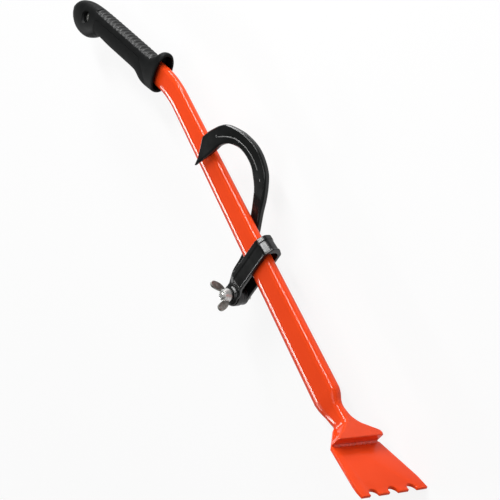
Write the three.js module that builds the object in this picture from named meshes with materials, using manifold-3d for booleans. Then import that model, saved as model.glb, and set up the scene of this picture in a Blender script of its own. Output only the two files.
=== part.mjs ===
// Felling lever with a turning hook: a flat steel tube with a toothed blade at one end, a moulded
// grip at the other, and a loop that slides on the tube and carries a curved hook on a bolt.
// Millimetres. X runs along the tube towards the blade, Y towards the hook's arc, and Z towards
// the wing nut. The lever lies on its side, so Z is up.

import * as THREE from 'three';
import Module from 'manifold-3d';
import { mergeVertices } from 'three/addons/utils/BufferGeometryUtils.js';

const wasm = await Module();
wasm.setup();

// Clearances
const fitGap = 0.3;
const boltGap = 0.3;

// Steel tube: places along X are measured from the tooth tips, towards the grip
const neckJointX = -124;
const bendStartX = -532;
const bendRadius = 150;
const gripDroop = THREE.MathUtils.degToRad(19.5);
const tubeHeightAtNeck = 34.3;
const tubeHeightAtBend = 25.9;
const tubeThicknessAtNeck = 13.9;
const tubeThicknessAtBend = 10.6;
const tubeEdgeRadiusAtNeck = 5.4;
const tubeEdgeRadiusAtBend = 4.2;
const tubeWall = 2;
const tubeInGrip = 148;
const endPlugLength = 9;

// Forged neck between the tube and the blade
const tenonLength = 26;
const weldBeadWidth = 4;
const weldBeadProud = 0.15;
const neckWaistX = -104;
const neckWaistTop = 11.4;
const neckWaistBottom = -13.4;
const neckWaistHalfWidth = 5.9;
const stepX = -65;
const stepNear = 29.6;
const stepFar = -33.6;
const stepTopY = 16.3;
const neckEdgeRadius = 2.6;

// Toothed blade plate, tilted up towards its teeth
const bladeTipY = 24;
const bladeTilt = THREE.MathUtils.degToRad(17.3);
const bladeThickness = 4.2;
const bladeTipNear = 42.6;
const bladeTipFar = -45.4;
const bladeShoulderU = -16;
const bladeShoulderNear = 40.8;
const bladeShoulderFar = -45;
const bladeRearU = -67;
const bladeRearNear = 29.8;
const bladeRearFar = -35.2;
const bladeEdgeRound = 0.8;
const tangWaistU = -78;
const tangWaistHalfWidth = 20;
const tangEndU = -91;
const tangEndHalfWidth = 8.5;
const toothCount = 4;
const toothPitch = 25.3;
const notchWidth = 11.5;
const notchDepth = 7.6;
const toothEdge = 3;
const toothBevelLength = 9;
const footBeadSize = 3;

// Grip: places along the grip are measured from its guard, towards the knob
const guardFront = 1;
const gripLength = 231;
const gripSides = 24;
const gripSquareness = 2.4;
const ribCount = 17;
const ribPitch = 8.4;
const firstRib = 22;
const ribHeight = 1.3;
const padRear = 157;
const padFront = 15;
const padTop = 4.9;
const hangHoleAt = 183;
const hangHoleDrop = 3;
const hangHoleRadius = 6;
const hangDishRadius = 8;
const knobFaceHalfWidth = 12.2;
const hangDishDepth = 2.5;
const eyeletWall = 0.9;

// Loop round the tube
const loopX = -295.7;
const loopYaw = THREE.MathUtils.degToRad(3);
const loopTilt = THREE.MathUtils.degToRad(4);
const bandWidth = 21.6;
const bandThickness = 3.4;
const loopInnerHalfWidth = 8;
const loopInnerTop = 22.4;
const loopInnerCorner = 5;
const crownThickness = 4;
const rimWidth = 1.8;
const gripSideRimWidth = 5.6;
const rimHeight = 0.6;
const boltDrop = 56.2;
const lugRadius = 11.6;
const lugInnerFace = 4.3;
const nearLegBendTop = 36;
const nearLegBendFoot = 45;
const lugBossRadius = 9.2;
const lugBossHeight = 0.6;

// Bolt, washers and wing nut
const boltRadius = 4;
const boltHeadRadius = 7.5;
const boltHeadHeight = 5.3;
const boltOverhang = 2;
const washerRadius = 8;
const washerThickness = 1.1;
const wingHubRadius = 7.6;
const wingHubTopRadius = 5.8;
const wingHubHeight = 7.8;
const wingSpan = 35.6;
const wingHeight = 18.6;
const wingThickness = 3;
const wingTipRadius = 4.1;
const wingTurn = THREE.MathUtils.degToRad(163);

// Turning hook
const hookThickness = 8;
const hookEyeRadius = 12.4;
const hookChamfer = 1.8;
const hookStepsPerSpan = 3;

const orangePaint = new THREE.MeshStandardMaterial({ color: 0xf24f24, roughness: 0.3, metalness: 0.0 });
const blackPlastic = new THREE.MeshStandardMaterial({ color: 0x1c1e1f, roughness: 0.5, metalness: 0.0 });
const softBlack = new THREE.MeshStandardMaterial({ color: 0x17191a, roughness: 0.62, metalness: 0.0 });
const blackSteel = new THREE.MeshStandardMaterial({ color: 0x1b1c1c, roughness: 0.4, metalness: 0.5 });
const zincPlate = new THREE.MeshStandardMaterial({ color: 0xb9bcbc, roughness: 0.35, metalness: 0.9 });

// Turns a closed geometry into a solid for joining and cutting.
function solidFrom(geometry) {
  const bare = geometry.clone();
  bare.deleteAttribute('normal');
  bare.deleteAttribute('uv');
  const merged = mergeVertices(bare, 1e-4);
  const vertProperties = new Float32Array(merged.getAttribute('position').array);
  const triVerts = new Uint32Array(merged.getIndex().array);
  return new wasm.Manifold(new wasm.Mesh({ numProp: 3, vertProperties, triVerts }));
}

// Gives a solid's surface back as a geometry with flat-shaded normals.
function geometryFrom(solid) {
  const surface = solid.getMesh();
  const geometry = new THREE.BufferGeometry();
  geometry.setAttribute('position', new THREE.BufferAttribute(new Float32Array(surface.vertProperties), 3));
  geometry.setIndex(new THREE.BufferAttribute(new Uint32Array(surface.triVerts), 1));
  geometry.computeVertexNormals();
  return geometry;
}

function piece(name, solid, material) {
  const mesh = new THREE.Mesh(geometryFrom(solid), material);
  mesh.name = name;
  return mesh;
}

// Skins a row of rings that all have the same number of points, and closes both ends.
function loftSolid(rings) {
  const count = rings[0].length;
  const points = rings.flat();
  const triangles = [];
  for (let i = 0; i < rings.length - 1; i++) {
    for (let j = 0; j < count; j++) {
      const a = i * count + j;
      const b = i * count + ((j + 1) % count);
      triangles.push(a, b, a + count, b, b + count, a + count);
    }
  }
  for (const [ring, outward] of [[0, true], [rings.length - 1, false]]) {
    const centre = new THREE.Vector3();
    rings[ring].forEach((p) => centre.addScaledVector(p, 1 / count));
    const hub = points.push(centre) - 1;
    for (let j = 0; j < count; j++) {
      const a = ring * count + j;
      const b = ring * count + ((j + 1) % count);
      triangles.push(hub, outward ? b : a, outward ? a : b);
    }
  }
  let volume = 0;
  for (let t = 0; t < triangles.length; t += 3) {
    const [a, b, c] = [0, 1, 2].map((k) => points[triangles[t + k]]);
    volume += a.dot(new THREE.Vector3().crossVectors(b, c));
  }
  if (volume < 0) triangles.reverse();
  const geometry = new THREE.BufferGeometry().setFromPoints(points);
  geometry.setIndex(triangles);
  return solidFrom(geometry);
}

// One ring of a rounded rectangle that reaches from bottom to top in Y and from far to near in Z.
function roundedRing(x, bottom, top, far, near, radius, perCorner = 5) {
  const ring = [];
  const corners = [[top, near, 0], [bottom, near, 1], [bottom, far, 2], [top, far, 3]];
  for (const [y, z, quarter] of corners) {
    const centreY = y - Math.sign(y - (top + bottom) / 2) * radius;
    const centreZ = z - Math.sign(z - (far + near) / 2) * radius;
    for (let k = 0; k < perCorner; k++) {
      const angle = ((quarter + k / (perCorner - 1)) * Math.PI) / 2;
      ring.push(new THREE.Vector3(x, centreY + radius * Math.cos(angle), centreZ + radius * Math.sin(angle)));
    }
  }
  return ring;
}

// Smooth curve through [place, value] pairs, read at one place.
function valueAt(pairs, place) {
  const last = pairs.length - 1;
  if (place <= pairs[0][0]) return pairs[0][1];
  if (place >= pairs[last][0]) return pairs[last][1];
  const i = pairs.findIndex((pair) => pair[0] > place) - 1;
  const slope = (k) => {
    const before = pairs[Math.max(k - 1, 0)];
    const after = pairs[Math.min(k + 1, last)];
    return (after[1] - before[1]) / (after[0] - before[0]);
  };
  const span = pairs[i + 1][0] - pairs[i][0];
  const t = (place - pairs[i][0]) / span;
  const rise = pairs[i + 1][1] - pairs[i][1];
  const bulge = (1 - t) * (slope(i) * span - rise) + t * (rise - slope(i + 1) * span);
  return pairs[i][1] + rise * t + t * (1 - t) * bulge;
}

function boxSolid(minimum, maximum) {
  const size = new THREE.Vector3().subVectors(maximum, minimum);
  const geometry = new THREE.BoxGeometry(size.x, size.y, size.z);
  geometry.translate(minimum.x + size.x / 2, minimum.y + size.y / 2, minimum.z + size.z / 2);
  return solidFrom(geometry);
}

// Upright cylinder or cone about the Z axis.
function postSolid(radius, bottom, top, segments = 32, topRadius = radius) {
  const geometry = new THREE.CylinderGeometry(topRadius, radius, top - bottom, segments);
  geometry.rotateX(Math.PI / 2);
  geometry.translate(0, 0, (top + bottom) / 2);
  return solidFrom(geometry);
}

// Flat washer or short tube about the Z axis.
function ringSolid(innerRadius, outerRadius, bottom, top) {
  return postSolid(outerRadius, bottom, top).subtract(postSolid(innerRadius, bottom - 1, top + 1, 24));
}

// Size of the tube's section at a place along X; it stays the same beyond the bend's start.
function tubeSection(x) {
  const share = THREE.MathUtils.clamp((x - bendStartX) / (neckJointX - bendStartX), 0, 1);
  return {
    height: THREE.MathUtils.lerp(tubeHeightAtBend, tubeHeightAtNeck, share),
    thickness: THREE.MathUtils.lerp(tubeThicknessAtBend, tubeThicknessAtNeck, share),
    radius: THREE.MathUtils.lerp(tubeEdgeRadiusAtBend, tubeEdgeRadiusAtNeck, share),
  };
}

// Ring of the tube's section at x, grown outwards by offset, or shrunk where offset is negative.
function tubeRing(x, offset) {
  const { height, thickness, radius } = tubeSection(x);
  const rise = height / 2 + offset;
  const side = thickness / 2 + offset;
  return roundedRing(x, -rise, rise, -side, side, Math.max(radius + offset, 0.6));
}

// The grip's frame: its origin is the end of the tube's bend, and the grip runs along its -X.
const gripFrame = new THREE.Group();
gripFrame.position.set(
  bendStartX - bendRadius * Math.sin(gripDroop),
  -bendRadius * (1 - Math.cos(gripDroop)),
  0,
);
gripFrame.rotation.z = gripDroop;
gripFrame.updateMatrix();

// The tube's outline along its whole path: straight, bent, then straight inside the grip.
function tubePath(offset, startX, endInGrip) {
  const rings = [tubeRing(startX, offset)];
  const bendSteps = 9;
  for (let k = 0; k <= bendSteps; k++) {
    const turn = (gripDroop * k) / bendSteps;
    const bend = new THREE.Matrix4().makeRotationZ(turn);
    bend.setPosition(bendStartX - bendRadius * Math.sin(turn), -bendRadius * (1 - Math.cos(turn)), 0);
    rings.push(tubeRing(bendStartX, offset).map((p) => p.setX(0).applyMatrix4(bend)));
  }
  const end = tubeRing(bendStartX, offset).map((p) => p.setX(-endInGrip).applyMatrix4(gripFrame.matrix));
  rings.push(end);
  return loftSolid(rings);
}

const tubeEndX = neckJointX - weldBeadWidth / 2 - fitGap;

function shaftTube() {
  const outside = tubePath(0, tubeEndX, tubeInGrip);
  const inside = tubePath(-tubeWall, tubeEndX + 1, tubeInGrip + 1);
  return outside.subtract(inside);
}

function endPlug() {
  const inset = -tubeWall - fitGap;
  const atEnd = tubeRing(bendStartX, inset).map((p) => p.setX(-tubeInGrip));
  const inward = tubeRing(bendStartX, inset).map((p) => p.setX(-tubeInGrip + endPlugLength));
  return loftSolid([atEnd, inward]);
}

// Weld ring that fills the groove between the tube's end and the neck's shoulder.
function neckWeldBead() {
  const rear = neckJointX - weldBeadWidth / 2;
  const front = neckJointX + weldBeadWidth / 2;
  const outside = loftSolid([
    tubeRing(rear, 0),
    tubeRing(rear + 1, weldBeadProud),
    tubeRing(front - 1, weldBeadProud),
    tubeRing(front, 0),
  ]);
  const hole = loftSolid([tubeRing(rear - 1, -tubeWall), tubeRing(front + 1, -tubeWall)]);
  return outside.subtract(hole);
}

// Moves a solid from the blade's frame, where X runs along the plate to its teeth and Y out of
// its upper face, to the tube's frame.
function fromBladeFrame(solid) {
  const turn = new THREE.Matrix4().makeRotationZ(bladeTilt).setPosition(0, bladeTipY, 0);
  return solid.transform(turn.toArray());
}

function bladeOutline() {
  const outline = new THREE.Shape();
  const notchRadius = notchWidth / 2;
  outline.moveTo(0, bladeTipFar);
  for (let k = 0; k < toothCount - 1; k++) {
    const middle = (k - (toothCount - 2) / 2) * toothPitch;
    outline.lineTo(0, middle - notchRadius);
    outline.lineTo(-(notchDepth - notchRadius), middle - notchRadius);
    outline.absarc(-(notchDepth - notchRadius), middle, notchRadius, -Math.PI / 2, Math.PI / 2, true);
    outline.lineTo(0, middle + notchRadius);
  }
  outline.lineTo(0, bladeTipNear);
  outline.lineTo(bladeShoulderU, bladeShoulderNear);
  outline.lineTo(bladeRearU, bladeRearNear);
  outline.lineTo(tangWaistU, tangWaistHalfWidth);
  outline.lineTo(tangEndU, tangEndHalfWidth);
  outline.lineTo(tangEndU, -tangEndHalfWidth);
  outline.lineTo(tangWaistU, -tangWaistHalfWidth);
  outline.lineTo(bladeRearU, bladeRearFar);
  outline.lineTo(bladeShoulderU, bladeShoulderFar);
  outline.closePath();
  return outline;
}

// The plate, with its teeth ground to an edge on the underside.
function bladePlate() {
  const slab = new THREE.ExtrudeGeometry(bladeOutline(), {
    depth: bladeThickness - 2 * bladeEdgeRound,
    bevelThickness: bladeEdgeRound,
    bevelSize: bladeEdgeRound,
    bevelOffset: -bladeEdgeRound,
    bevelSegments: 2,
    curveSegments: 8,
  });
  slab.rotateX(Math.PI / 2);
  slab.translate(0, -bladeEdgeRound, 0);
  const reach = 3 * toothBevelLength;
  const grind = new THREE.BoxGeometry(reach, reach, -3 * bladeTipFar);
  grind.translate(0, -reach / 2, 0);
  grind.rotateZ(Math.atan2(bladeThickness - toothEdge, toothBevelLength));
  grind.translate(0, -toothEdge, 0);
  return fromBladeFrame(solidFrom(slab).subtract(solidFrom(grind)));
}

// The forged neck: a tenon inside the tube, a waist, and a fan that ends in a step on the blade.
function neckForging() {
  const { height, thickness, radius } = tubeSection(neckJointX);
  const shoulderX = neckJointX + weldBeadWidth / 2 + fitGap;
  const top = [
    [shoulderX, height / 2],
    [-116, 15.2],
    [-110, 12.4],
    [neckWaistX, neckWaistTop],
    [-95, 12.7],
    [stepX, stepTopY],
  ];
  const bottom = [
    [shoulderX, -height / 2],
    [-114, -16.3],
    [-108, -15],
    [neckWaistX, neckWaistBottom],
    [-96, -10.9],
    [-90, -9],
    [stepX, -9],
  ];
  const near = [
    [shoulderX, thickness / 2],
    [-113, 6.6],
    [neckWaistX, neckWaistHalfWidth],
    [-92, 6.6],
    [-84, 7.6],
    [-78, 12],
    [-73, 20],
    [-69, 26.5],
    [stepX, stepNear],
  ];
  const far = [
    [shoulderX, -thickness / 2],
    [-113, -6.6],
    [neckWaistX, -neckWaistHalfWidth],
    [-95, -7],
    [-88, -9.6],
    [-82, -13.6],
    [-76, -23.4],
    [-71.5, -31.5],
    [-68.5, stepFar],
    [stepX, stepFar + 0.8],
  ];
  const edge = [[shoulderX, radius], [neckWaistX, neckEdgeRadius], [stepX, neckEdgeRadius]];
  const rings = [];
  const steps = 22;
  for (let k = 0; k <= steps; k++) {
    const x = shoulderX + ((stepX - shoulderX) * k) / steps;
    const [low, high] = [valueAt(bottom, x), valueAt(top, x)];
    rings.push(roundedRing(x, low, high, valueAt(far, x), valueAt(near, x), valueAt(edge, x)));
  }
  const tenonInset = -tubeWall - fitGap;
  const tenon = loftSolid([
    tubeRing(tubeEndX - tenonLength, tenonInset),
    tubeRing(shoulderX + 1, tenonInset),
  ]);
  const wide = -2 * stepFar;
  const seat = boxSolid(
    new THREE.Vector3(tangEndU - fitGap, -wide, -wide),
    new THREE.Vector3(bladeThickness, fitGap, wide),
  );
  return loftSolid(rings).add(tenon).subtract(fromBladeFrame(seat));
}

// Weld bead along the foot of the step, on the blade's upper face.
function stepWeldBead() {
  const faceX = stepX + fitGap;
  const plateTop = (x) => bladeTipY + x * Math.tan(bladeTilt) + fitGap / Math.cos(bladeTilt);
  const section = new THREE.Shape();
  section.moveTo(faceX, plateTop(faceX));
  section.lineTo(faceX + footBeadSize, plateTop(faceX + footBeadSize));
  section.quadraticCurveTo(
    faceX + 0.45 * footBeadSize,
    plateTop(faceX) + 0.6 * footBeadSize,
    faceX,
    plateTop(faceX) + footBeadSize,
  );
  section.closePath();
  const length = stepNear - stepFar - 2 * neckEdgeRadius;
  const bead = new THREE.ExtrudeGeometry(section, { depth: length, bevelEnabled: false, curveSegments: 4 });
  bead.translate(0, 0, stepFar + neckEdgeRadius);
  return solidFrom(bead);
}

// Outlines of the grip: how far it reaches above and below the tube's axis, and to each side.
const gripTop = [
  [guardFront, 26], [guardFront + 3, 28.4], [9, 27.6], [14, 22.6], [19, 18.6], [26, 17],
  [60, 16.8], [110, 16.9], [165, 16.7], [184, 15.8], [200, 13.4], [213, 9.2], [222, 3.6], [gripLength, -5],
];
const gripBottom = [
  [guardFront, 20], [guardFront + 3, 22], [12, 22.8], [25, 22.8], [33, 21.6], [41, 18.4], [50, 16.2],
  [80, 15.8], [120, 15.9], [146, 15.1], [154, 15.6], [160, 19], [167, 23.6], [177, 28], [187, 29.8],
  [198, 29.6], [208, 27.6], [217, 23.4], [225, 17.4], [gripLength, 10.5],
];
const gripHalfWidth = [
  [guardFront, 11.5], [guardFront + 3, 12.6], [10, 12.9], [21, 13.2], [40, 13.3], [150, 13.1],
  [175, 12.4], [200, 11.8], [214, 10], [223, 7.2], [gripLength, 3],
];

// One ring of the grip. The grooves between the ribs sink only the top of the ring.
function gripRing(along, grooveDepth) {
  const top = valueAt(gripTop, along);
  const bottom = valueAt(gripBottom, along);
  const half = valueAt(gripHalfWidth, along);
  const ring = [];
  for (let k = 0; k < gripSides; k++) {
    const angle = (2 * Math.PI * k) / gripSides;
    const [c, s] = [Math.cos(angle), Math.sin(angle)];
    const share = THREE.MathUtils.smoothstep(s, 0.3, 0.7);
    const y = Math.sign(s) * Math.abs(s) ** (2 / gripSquareness);
    const z = Math.sign(c) * Math.abs(c) ** (2 / gripSquareness);
    const middle = (top - bottom) / 2;
    const rise = (top + bottom) / 2;
    ring.push(new THREE.Vector3(-along, middle + rise * y - grooveDepth * share, half * z));
  }
  return ring;
}

function gripOuter() {
  const rings = [];
  const plain = (places) => places.forEach((place) => rings.push(gripRing(place, 0)));
  plain([guardFront, guardFront + 1.5, guardFront + 4, 9, 11, 13, 15.5, 18.5]);
  for (let k = 0; k < ribCount; k++) {
    for (const [phase, depth] of [[0.12, ribHeight], [0.3, 0], [0.7, 0], [0.88, ribHeight]]) {
      rings.push(gripRing(firstRib + (k + phase) * ribPitch, depth));
    }
  }
  plain([168, 172, 177, 183, 189, 195, 201, 206, 211, 216, 220, 224, 227, gripLength]);
  return loftSolid(rings);
}

// Side view of the belly pad, drawn as a cutter that is grown by the given amount.
function padCutter(grow) {
  const side = new THREE.Shape();
  const deep = -60;
  side.moveTo(-padRear - grow, deep);
  side.lineTo(-padRear - grow, padTop - 3);
  side.quadraticCurveTo(-padRear - grow, padTop + grow, -padRear + 8, padTop + grow);
  side.lineTo(-48, padTop + grow);
  side.quadraticCurveTo(-41 + grow, padTop + grow, -36 + grow, padTop - 4);
  side.lineTo(-22 + grow, -9);
  side.quadraticCurveTo(-padFront + grow, -13, -padFront + grow, deep);
  side.closePath();
  const wide = 60;
  const cutter = new THREE.ExtrudeGeometry(side, { depth: wide, bevelEnabled: false, curveSegments: 5 });
  cutter.translate(0, 0, -wide / 2);
  return solidFrom(cutter);
}

function gripPieces() {
  const bore = loftSolid([
    tubeRing(bendStartX, fitGap).map((p) => p.setX(10)),
    tubeRing(bendStartX, fitGap).map((p) => p.setX(-tubeInGrip - fitGap)),
  ]);
  const hollowed = gripOuter().subtract(bore);
  const atHole = (solid) => solid.translate([-hangHoleAt, -hangHoleDrop, 0]);
  const dishFloor = knobFaceHalfWidth - hangDishDepth;
  const through = atHole(postSolid(hangHoleRadius, -30, 30, 28));
  const nearDish = atHole(postSolid(hangHoleRadius, dishFloor, 30, 28, hangDishRadius + 14));
  const farDish = atHole(postSolid(hangDishRadius + 14, -30, -dishFloor, 28, hangHoleRadius));
  const body = hollowed.subtract(padCutter(fitGap)).subtract(through).subtract(nearDish).subtract(farDish);
  const pad = hollowed.intersect(padCutter(0));
  const eyeletOuter = hangHoleRadius - fitGap;
  const eyelet = atHole(ringSolid(eyeletOuter - eyeletWall, eyeletOuter, -dishFloor, dishFloor));
  return { body, pad, eyelet };
}

// Outline of the loop seen along the tube: a U that is closed over the tube's upper side. Its near
// leg bends in towards the hook's eye, so that both legs hold the eye on the bolt.
function loopOutline(grow) {
  const thickness = bandThickness + grow;
  const inner = loopInnerHalfWidth;
  const outer = inner + thickness;
  const crown = loopInnerTop + crownThickness + grow;
  const innerArcY = loopInnerTop - loopInnerCorner;
  const outerCorner = loopInnerCorner + thickness;
  const outerArcY = crown - outerCorner;
  const outline = new THREE.Shape();
  outline.moveTo(-outer, -boltDrop);
  outline.lineTo(-inner, -boltDrop);
  outline.lineTo(-inner, innerArcY);
  outline.absarc(-inner + loopInnerCorner, innerArcY, loopInnerCorner, Math.PI, Math.PI / 2, true);
  outline.absarc(inner - loopInnerCorner, innerArcY, loopInnerCorner, Math.PI / 2, 0, true);
  outline.lineTo(inner, -nearLegBendTop);
  outline.lineTo(lugInnerFace, -nearLegBendFoot);
  outline.lineTo(lugInnerFace, -boltDrop);
  outline.lineTo(lugInnerFace + thickness, -boltDrop);
  outline.lineTo(lugInnerFace + thickness, -nearLegBendFoot + 1);
  outline.lineTo(outer, -nearLegBendTop + 1);
  outline.lineTo(outer, outerArcY);
  outline.absarc(outer - outerCorner, outerArcY, outerCorner, 0, Math.PI / 2, false);
  outline.absarc(-outer + outerCorner, outerArcY, outerCorner, Math.PI / 2, Math.PI, false);
  outline.closePath();
  return outline;
}

function loopBand(grow, from, to) {
  const band = new THREE.ExtrudeGeometry(loopOutline(grow), {
    depth: to - from,
    bevelEnabled: false,
    curveSegments: 6,
  });
  band.rotateY(-Math.PI / 2);
  band.translate(to, 0, 0);
  return solidFrom(band);
}

const nearLugFace = lugInnerFace + bandThickness;

// The loop: a band with a raised rim on each edge, and a lug at the foot of each leg.
function clampLoop() {
  const half = bandWidth / 2;
  const farFace = -loopInnerHalfWidth - bandThickness;
  const atBolt = (solid) => solid.translate([0, -boltDrop, 0]);
  const nearLug = atBolt(postSolid(lugRadius, lugInnerFace, nearLugFace, 36));
  const farLug = atBolt(postSolid(lugRadius, farFace, -lugInnerFace, 36));
  const boss = atBolt(postSolid(lugBossRadius, lugInnerFace, nearLugFace + lugBossHeight, 36));
  const farBoss = atBolt(postSolid(lugBossRadius, farFace - lugBossHeight, -lugInnerFace, 36));
  const boltHole = atBolt(postSolid(boltRadius + boltGap, -40, 40, 24));
  return loopBand(0, -half, half)
    .add(loopBand(rimHeight, -half, -half + gripSideRimWidth))
    .add(loopBand(rimHeight, half - rimWidth, half))
    .add(nearLug).add(farLug).add(boss).add(farBoss)
    .subtract(boltHole);
}

// Stations of the hook in the loop's frame, from its eye to its heel. Each one gives the x and y of
// the outer edge, the x and y of the inner edge, the height z of the middle, and the thickness.
const hookStations = [
  [9.6, -boltDrop + 7.8, -9.6, -boltDrop - 7.8, 0, hookThickness],
  [0.5, -41.5, -14.5, -52, -0.4, hookThickness],
  [-12.4, -30.5, -22.5, -40.3, -3.6, hookThickness],
  [-17.5, -19, -29.5, -26.5, -10.3, hookThickness],
  [-24.5, -6, -36.5, -14, -13, hookThickness],
  [-32.8, 9.4, -46, 2.5, -13.6, hookThickness],
  [-43.2, 27.1, -56.2, 19.1, -13.6, hookThickness],
  [-50, 39.9, -62.2, 30.9, -12.8, hookThickness],
  [-57.3, 53, -68.1, 42.3, -11.1, hookThickness],
  [-66.9, 65, -76.8, 51.3, -9.4, hookThickness],
  [-80.6, 74, -85.8, 57.7, -7.2, hookThickness],
  [-95.1, 78.7, -97.9, 60.9, -4.8, hookThickness],
  [-112, 78.1, -108.5, 60.8, -2.6, hookThickness],
  [-124, 74.8, -116.5, 58.2, -1, hookThickness],
  [-139.3, 67.9, -122.6, 55, 1.5, hookThickness],
  [-147, 59.5, -125.5, 52.4, 2.6, hookThickness],
  [-152, 50.5, -128.6, 48.3, 3.3, hookThickness],
  [-155.8, 42, -131.3, 43.5, 3.8, hookThickness],
  [-159.2, 31.1, -133, 37, 4, hookThickness],
];

// The claw runs straight from the heel to its point.
const clawStations = [
  [-153.6, 20.3, -136.3, 25.3, 4.5, 7],
  [-148.5, 10, -140.8, 11.5, 5.5, 5],
  [-145.6, 0.2, -144.3, 0.8, 6.7, 2.6],
];

// Chamfered rectangle that stands square to the hook's face.
function hookRing([outerX, outerY, innerX, innerY, z, thickness]) {
  const across = new THREE.Vector3(outerX - innerX, outerY - innerY, 0);
  const centre = new THREE.Vector3((outerX + innerX) / 2, (outerY + innerY) / 2, z);
  const [w, t] = [across.length() / 2, thickness / 2];
  across.normalize();
  const bevel = Math.min(hookChamfer, 0.7 * w, 0.7 * t);
  const corners = [
    [w, t - bevel], [w - bevel, t], [-w + bevel, t], [-w, t - bevel],
    [-w, -t + bevel], [-w + bevel, -t], [w - bevel, -t], [w, -t + bevel],
  ];
  return corners.map(([u, v]) => new THREE.Vector3(0, 0, v).addScaledVector(across, u).add(centre));
}

function turningHook() {
  const rings = [];
  const spans = hookStations.length - 1;
  const columns = hookStations[0].map((_, column) => hookStations.map((row, k) => [k, row[column]]));
  for (let k = 0; k <= spans * hookStepsPerSpan; k++) {
    rings.push(hookRing(columns.map((pairs) => valueAt(pairs, k / hookStepsPerSpan))));
  }
  clawStations.forEach((station) => rings.push(hookRing(station)));
  const half = hookThickness / 2;
  const eye = postSolid(hookEyeRadius, -half, half, 36).translate([0, -boltDrop, 0]);
  const hole = postSolid(boltRadius + boltGap, -half - 1, half + 1, 24).translate([0, -boltDrop, 0]);
  const clearOfLugs = boxSolid(
    new THREE.Vector3(-hookEyeRadius, -boltDrop - 20, -20),
    new THREE.Vector3(20, -boltDrop + hookEyeRadius, -half),
  );
  return loftSolid(rings).subtract(clearOfLugs).add(eye).subtract(hole);
}

// Heights of the parts stacked on the bolt, along Z in the loop's frame.
const nutWasherBottom = nearLugFace + lugBossHeight + fitGap;
const nutBottom = nutWasherBottom + washerThickness + fitGap;
const headWasherTop = -loopInnerHalfWidth - bandThickness - lugBossHeight - fitGap;
const headTop = headWasherTop - washerThickness - fitGap;
const boltEnd = nutBottom + wingHubHeight + boltOverhang;

function pivotBolt() {
  const head = postSolid(boltHeadRadius, headTop - boltHeadHeight, headTop, 6);
  return head.add(postSolid(boltRadius, headTop - 1, boltEnd, 24));
}

// A leaf-shaped wing that stands out from the hub to one side.
function wingLeaf() {
  const reach = wingSpan / 2;
  const tipX = reach - wingTipRadius;
  const tipY = wingHeight - wingTipRadius;
  const leaf = new THREE.Shape();
  leaf.moveTo(wingHubTopRadius - 0.6, 1.5);
  leaf.quadraticCurveTo(reach - 3, 3, tipX + wingTipRadius, tipY - 1);
  leaf.absarc(tipX, tipY, wingTipRadius, 0, 0.75 * Math.PI, false);
  leaf.quadraticCurveTo(wingHubTopRadius + 2, tipY, wingHubTopRadius - 0.6, wingHubHeight - 0.5);
  leaf.closePath();
  const blade = new THREE.ExtrudeGeometry(leaf, { depth: wingThickness, bevelEnabled: false, curveSegments: 8 });
  blade.translate(0, 0, -wingThickness / 2);
  blade.rotateX(Math.PI / 2);
  return solidFrom(blade);
}

function wingNut() {
  const hub = postSolid(wingHubRadius, 0, wingHubHeight, 32, wingHubTopRadius);
  const thread = postSolid(boltRadius + boltGap, -1, wingHubHeight + 1, 24);
  return hub.add(wingLeaf()).add(wingLeaf().rotate([0, 0, 180])).subtract(thread);
}

const shaft = new THREE.Group();
shaft.add(
  piece('shaft_tube', shaftTube(), orangePaint),
  piece('neck_weld_bead', neckWeldBead(), orangePaint),
  piece('neck_forging', neckForging(), orangePaint),
  piece('blade_plate', bladePlate(), orangePaint),
  piece('step_weld_bead', stepWeldBead(), orangePaint),
);

const grip = gripPieces();
gripFrame.add(
  piece('grip_body', grip.body, blackPlastic),
  piece('grip_belly_pad', grip.pad, softBlack),
  piece('hang_hole_eyelet', grip.eyelet, zincPlate),
  piece('tube_end_plug', endPlug(), blackPlastic),
);

const loopFrame = new THREE.Group();
loopFrame.position.set(loopX, 0, 0);
loopFrame.rotation.set(0, loopYaw, loopTilt, 'YXZ');
loopFrame.add(
  piece('clamp_loop', clampLoop(), blackSteel),
  piece('turning_hook', turningHook(), blackSteel),
);

const boltFrame = new THREE.Group();
boltFrame.position.set(0, -boltDrop, 0);
const washerAt = (bottom) => {
  return ringSolid(boltRadius + boltGap, washerRadius, bottom, bottom + washerThickness);
};
boltFrame.add(
  piece('pivot_bolt', pivotBolt(), zincPlate),
  piece('head_washer', washerAt(headWasherTop - washerThickness), zincPlate),
  piece('nut_washer', washerAt(nutWasherBottom), zincPlate),
);
const nut = piece('wing_nut', wingNut(), zincPlate);
nut.position.z = nutBottom;
nut.rotation.z = wingTurn;
boltFrame.add(nut);
loopFrame.add(boltFrame);

// The origin is the middle of the lever's footprint, on the surface that it lies on.
const assembly = new THREE.Group();
assembly.add(shaft, gripFrame, loopFrame);
assembly.updateMatrixWorld(true);
const extent = new THREE.Box3().setFromObject(assembly, true);
const middle = extent.getCenter(new THREE.Vector3());
assembly.position.set(-middle.x, -middle.y, -extent.min.z);

const lever = new THREE.Group();
lever.name = 'felling_lever';
lever.add(assembly);

export default lever;
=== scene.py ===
"""Looks of a felling lever with a turning hook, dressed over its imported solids.

Sizes are millimetres in the frame of the tube, the grip, the blade, the loop or the bolt. A frame's
matrix turns them into the row frame in metres, in which every finished mesh is stored.
"""

import logging
import math
from collections.abc import Callable
from dataclasses import dataclass
from enum import Enum

import bmesh
import bpy
import numpy as np
from mathutils import Matrix, Vector


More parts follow.
